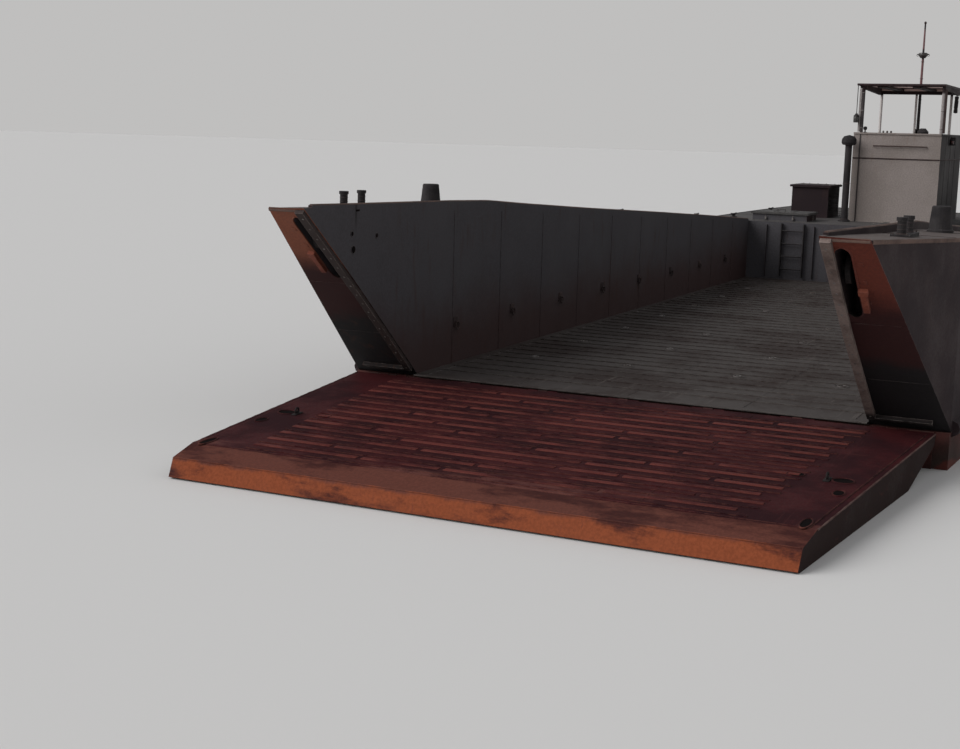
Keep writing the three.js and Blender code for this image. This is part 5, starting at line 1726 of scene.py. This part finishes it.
# Mooring posts: weld collars, bands and base bolts, and the clamp bands of the tall ventilator
posts = {
    "pairs": [
        {"place": (9.2, 2.65, 3.1144), "gap": 0.17, "radius": 0.038, "bands": (0.06, 0.10),
         "bolts": (0.235, 0.055)},
        {"place": (-10.35, 2.65, 2.4), "gap": 0.15, "radius": 0.055, "bands": (0.075, 0.15),
         "bolts": (0.235, 0.075)}],
    "base": 0.022, "collar": 0.006, "band": 0.003, "bolt": (0.014, 0.010),
}
ventBands = {
    "place": (-5.665, -0.855), "bands": [(3.795, 0.064), (3.1, 0.064), (2.445, 0.066)],
    "thick": 0.006, "boltCircle": (0.088, 0.088), "boltZ": 2.4255, "bolt": (0.013, 0.010),
}


def makePosts(look):
    parts = []
    for pair in look["pairs"]:
        x, y, z = pair["place"]
        alongBolt, acrossBolt = pair["bolts"]
        for dx in (-pair["gap"], pair["gap"]):
            parts.append(hoop(pair["radius"] + 0.003, look["collar"],
                              (x + dx, y, z + look["base"] + 0.002)))
            parts += [hoop(pair["radius"] + 0.0005, look["band"], (x + dx, y, z + height), None,
                           28, 6) for height in pair["bands"]]
        parts += [moved(bolt(*look["bolt"]), (x + bx, y + by, z + look["base"] - 0.001))
                  for bx in (-alongBolt, alongBolt) for by in (-acrossBolt, acrossBolt)]
    whole = bothSides(parts)
    vx, vy = ventBands["place"]
    whole += [hoop(radius, ventBands["thick"], (vx, vy, z), None, 30) for z, radius in ventBands["bands"]]
    whole.append(boltRing(bolt(*ventBands["bolt"]), (vx, vy, ventBands["boltZ"]),
                          ventBands["boltCircle"], 6, flat=True))
    makePiece("postTrim", whole, "trimPaint")


makePosts(posts)
print("after deck dressed")

# Stern: ribs and bolts of the fender, flange bolts of the exhausts, and transom seams
stern = {
    "x": -11.0, "fenderX": -11.1103, "fenderZ": (2.13, 2.33), "rib": (0.016, 5.36, 0.022),
    "fenderBoltY": np.arange(-2.5, 2.51, 0.5), "fenderBolt": (0.02, 0.008),
    "seamY": (-1.6, -0.55, 0.55, 1.6), "seamZ": (1.05, 2.11), "seamHalf": 2.95, "beltZ": 1.7,
    "bead": 0.005, "flange": (-11.0255, 2.15, 1.5), "flangeCircle": (0.136, 0.136),
    "flangeBolts": 8, "flangeBolt": (0.016, 0.010),
}
# Zinc anodes: a pair on each skeg at x and z, with straps, and single ones along the chine
zincs = {
    "skegY": 1.35, "skeg": [(-6.4, 0.28), (-7.6, 0.45), (-8.6, 0.3)], "slab": (0.32, 0.045, 0.11),
    "off": 0.06, "strap": (0.09, 0.008, 0.03), "strapX": 0.19, "strapY": 0.049,
    "chineX": (-2.0, 1.0, 4.0), "chineZ": 0.62, "chineSlab": (0.32, 0.05, 0.11), "edge": 0.018,
}


def makeStern(look):
    (low, high), (flangeX, flangeY, flangeZ) = look["fenderZ"], look["flange"]
    astern = turnAbout("Y", -90)
    ribs = [slab(look["rib"], (look["fenderX"] - 0.003, 0, z), edge=0.006)
            for z in np.linspace(low + 0.03, high - 0.03, 4)]
    bolts = [moved(bolt(*look["fenderBolt"]), (look["fenderX"], y, z), astern)
             for y in look["fenderBoltY"] for z in (low + 0.06, high - 0.06)]
    flangeBolt = moved(bolt(*look["flangeBolt"]), turn=astern)
    bolts += [boltRing(flangeBolt, (flangeX, y, flangeZ), look["flangeCircle"], look["flangeBolts"],
                       start=np.pi / look["flangeBolts"]) for y in (flangeY, -flangeY)]
    seams = [weld(*((look["x"], y, z) for z in look["seamZ"]), look["bead"], (0, 1, 0))
             for y in look["seamY"]]
    seams.append(weld(*((look["x"], side * look["seamHalf"], look["beltZ"]) for side in (-1, 1)),
                      look["bead"]))
    makePiece("fenderRibs", ribs, "rubberBlack")
    makePiece("sternBolts", bolts, "wornSteel")
    makePiece("transomSeams", seams, "hullPaint")


def makeZincs(look):
    parts = []
    for x, z in look["skeg"]:
        parts += [slab(look["slab"], (x, look["skegY"] + dy, z), edge=look["edge"])
                  for dy in (look["off"], -look["off"])]
        parts += [slab(look["strap"], (x + dx, look["skegY"] + dy, z), edge=0.003)
                  for dx in (-look["strapX"], look["strapX"])
                  for dy in (look["strapY"], -look["strapY"])]
    for x in look["chineX"]:
        y = sideAt("bottom_hull", x, look["chineZ"])
        parts.append(slab(look["chineSlab"], (x, y + 0.018, look["chineZ"]), edge=look["edge"]))
    makePiece("anodes", bothSides(parts), "zincMetal")


makeStern(stern)
makeZincs(zincs)

# Propellers: collars round each shaft and hub, and a nut on each cone
screws = {
    "sides": {"screwCollarsPort": ("port_screw", 1.35),
              "screwCollarsStarboard": ("starboard_screw", -1.35)},
    "z": 0.5, "collars": [(-9.04, 0.0885), (-9.255, 0.0835), (-8.95, 0.052)], "thick": 0.008,
    "nutX": -9.364, "nut": [(0, 0), (0.034, 0), (0.034, 0.02), (0.028, 0.026), (0, 0.026)],
}


def makeScrews(look):
    for name, (body, y) in look["sides"].items():
        parts = [hoop(radius, look["thick"], (x, y, look["z"]), turnAbout("Y", 90), 36)
                 for x, radius in look["collars"]]
        parts.append(moved(lathe(look["nut"], 6), (look["nutX"], y, look["z"]), turnAbout("Y", -90)))
        makePiece(name, parts, "bronze", body)


makeScrews(screws)

# Bow sill and hinge: weld beads along the sill and beside the knuckles, a grease nipple under each
# knuckle and end nuts on the pin
sill = {
    "x": 8.4233, "pin": (8.5, 1.3), "knuckles": (-2.55, -1.70, -0.85, 0.0, 0.85, 1.70, 2.55),
    "nipple": [(0, 0), (0.011, 0), (0.011, 0.008), (0.006, 0.012), (0.006, 0.02), (0.008, 0.024),
               (0, 0.027)],
    "nippleZ": 1.244, "beadOff": 0.047, "beadZ": (1.262, 1.336), "bead": 0.005,
    "nut": [(0, 0), (0.036, 0), (0.036, 0.014), (0.030, 0.018), (0, 0.018)], "nutY": 2.6395,
    "seam": (2.88, 0.885, 0.006),
}


def makeSill(look):
    x, (pinX, pinZ), (half, seamZ, seamBead) = look["x"], look["pin"], look["seam"]
    parts = []
    for y in look["knuckles"]:
        parts.append(moved(lathe(look["nipple"], 12), (pinX, y, look["nippleZ"]), turnAbout("X", 180)))
        parts += [weld(*((x, y + dy, z) for z in look["beadZ"]), look["bead"], (1, 0, 0))
                  for dy in (-look["beadOff"], look["beadOff"])]
    parts += [moved(lathe(look["nut"], 6), (pinX, side * look["nutY"], pinZ),
                    turnAbout("X", -90 * side)) for side in (1, -1)]
    parts.append(weld((x, -half, seamZ), (x, half, seamZ), seamBead))
    makePiece("sillTrim", parts, "primerPaint")


makeSill(sill)
print("stern and running gear dressed")

# Pale floor at the waterline, a big soft key from ahead and a weak fill from astern
stageSetup = {
    "floorZ": 1.0, "floorReach": 260.0, "floorColour": (0.68, 0.668, 0.652),
    "floorRoughness": 0.9, "horizon": (0.525, 0.52, 0.515), "overhead": (0.30, 0.31, 0.33),
    "skyHeights": (0.15, 0.75), "keyFrom": (0.60, -0.66, 0.60), "keyStrength": 2.3,
    "keySpreadDeg": 45.0, "fillFrom": (-0.5, 0.8, 0.7), "fillStrength": 0.2, "fillSpreadDeg": 60.0,
}


def makeStage(setup):
    edge = np.linspace(-setup["floorReach"], setup["floorReach"], 9)
    x, y = np.meshgrid(edge, edge, indexing="ij")
    points = np.stack([x, y, np.full_like(x, setup["floorZ"])], axis=-1).reshape(-1, 3)
    mesh = bpy.data.meshes.new("floor")
    mesh.from_pydata(points.tolist(), [], gridFaces(9, 9)[:, ::-1].tolist())
    material, _, shader = newMaterial("floorPaper")
    shader.inputs["Base Color"].default_value = (*setup["floorColour"], 1.0)
    shader.inputs["Roughness"].default_value = setup["floorRoughness"]
    mesh.materials.append(material)
    floor = bpy.data.objects.new("floor", mesh)
    bpy.context.scene.collection.objects.link(floor)

    world = bpy.data.worlds.new("studio")
    world.use_nodes = True
    tree = world.node_tree
    height = remap(tree, axisParts(tree, coordinates(tree, "Generated"))["Z"], *setup["skyHeights"])
    sky = mixed(tree, height, setup["horizon"], setup["overhead"])
    tree.links.new(sky, tree.nodes["Background"].inputs["Color"])
    bpy.context.scene.world = world

    for name in ("key", "fill"):
        data = bpy.data.lights.new(name, "SUN")
        data.energy = setup[name + "Strength"]
        data.angle = math.radians(setup[name + "SpreadDeg"])
        lamp = bpy.data.objects.new(name, data)
        towards = Vector(setup[name + "From"]).to_track_quat("Z", "Y")
        lamp.rotation_euler = towards.to_euler()
        bpy.context.scene.collection.objects.link(lamp)


makeStage(stageSetup)
bpy.context.scene.view_settings.view_transform = "Standard"
print("floor and lights placed")
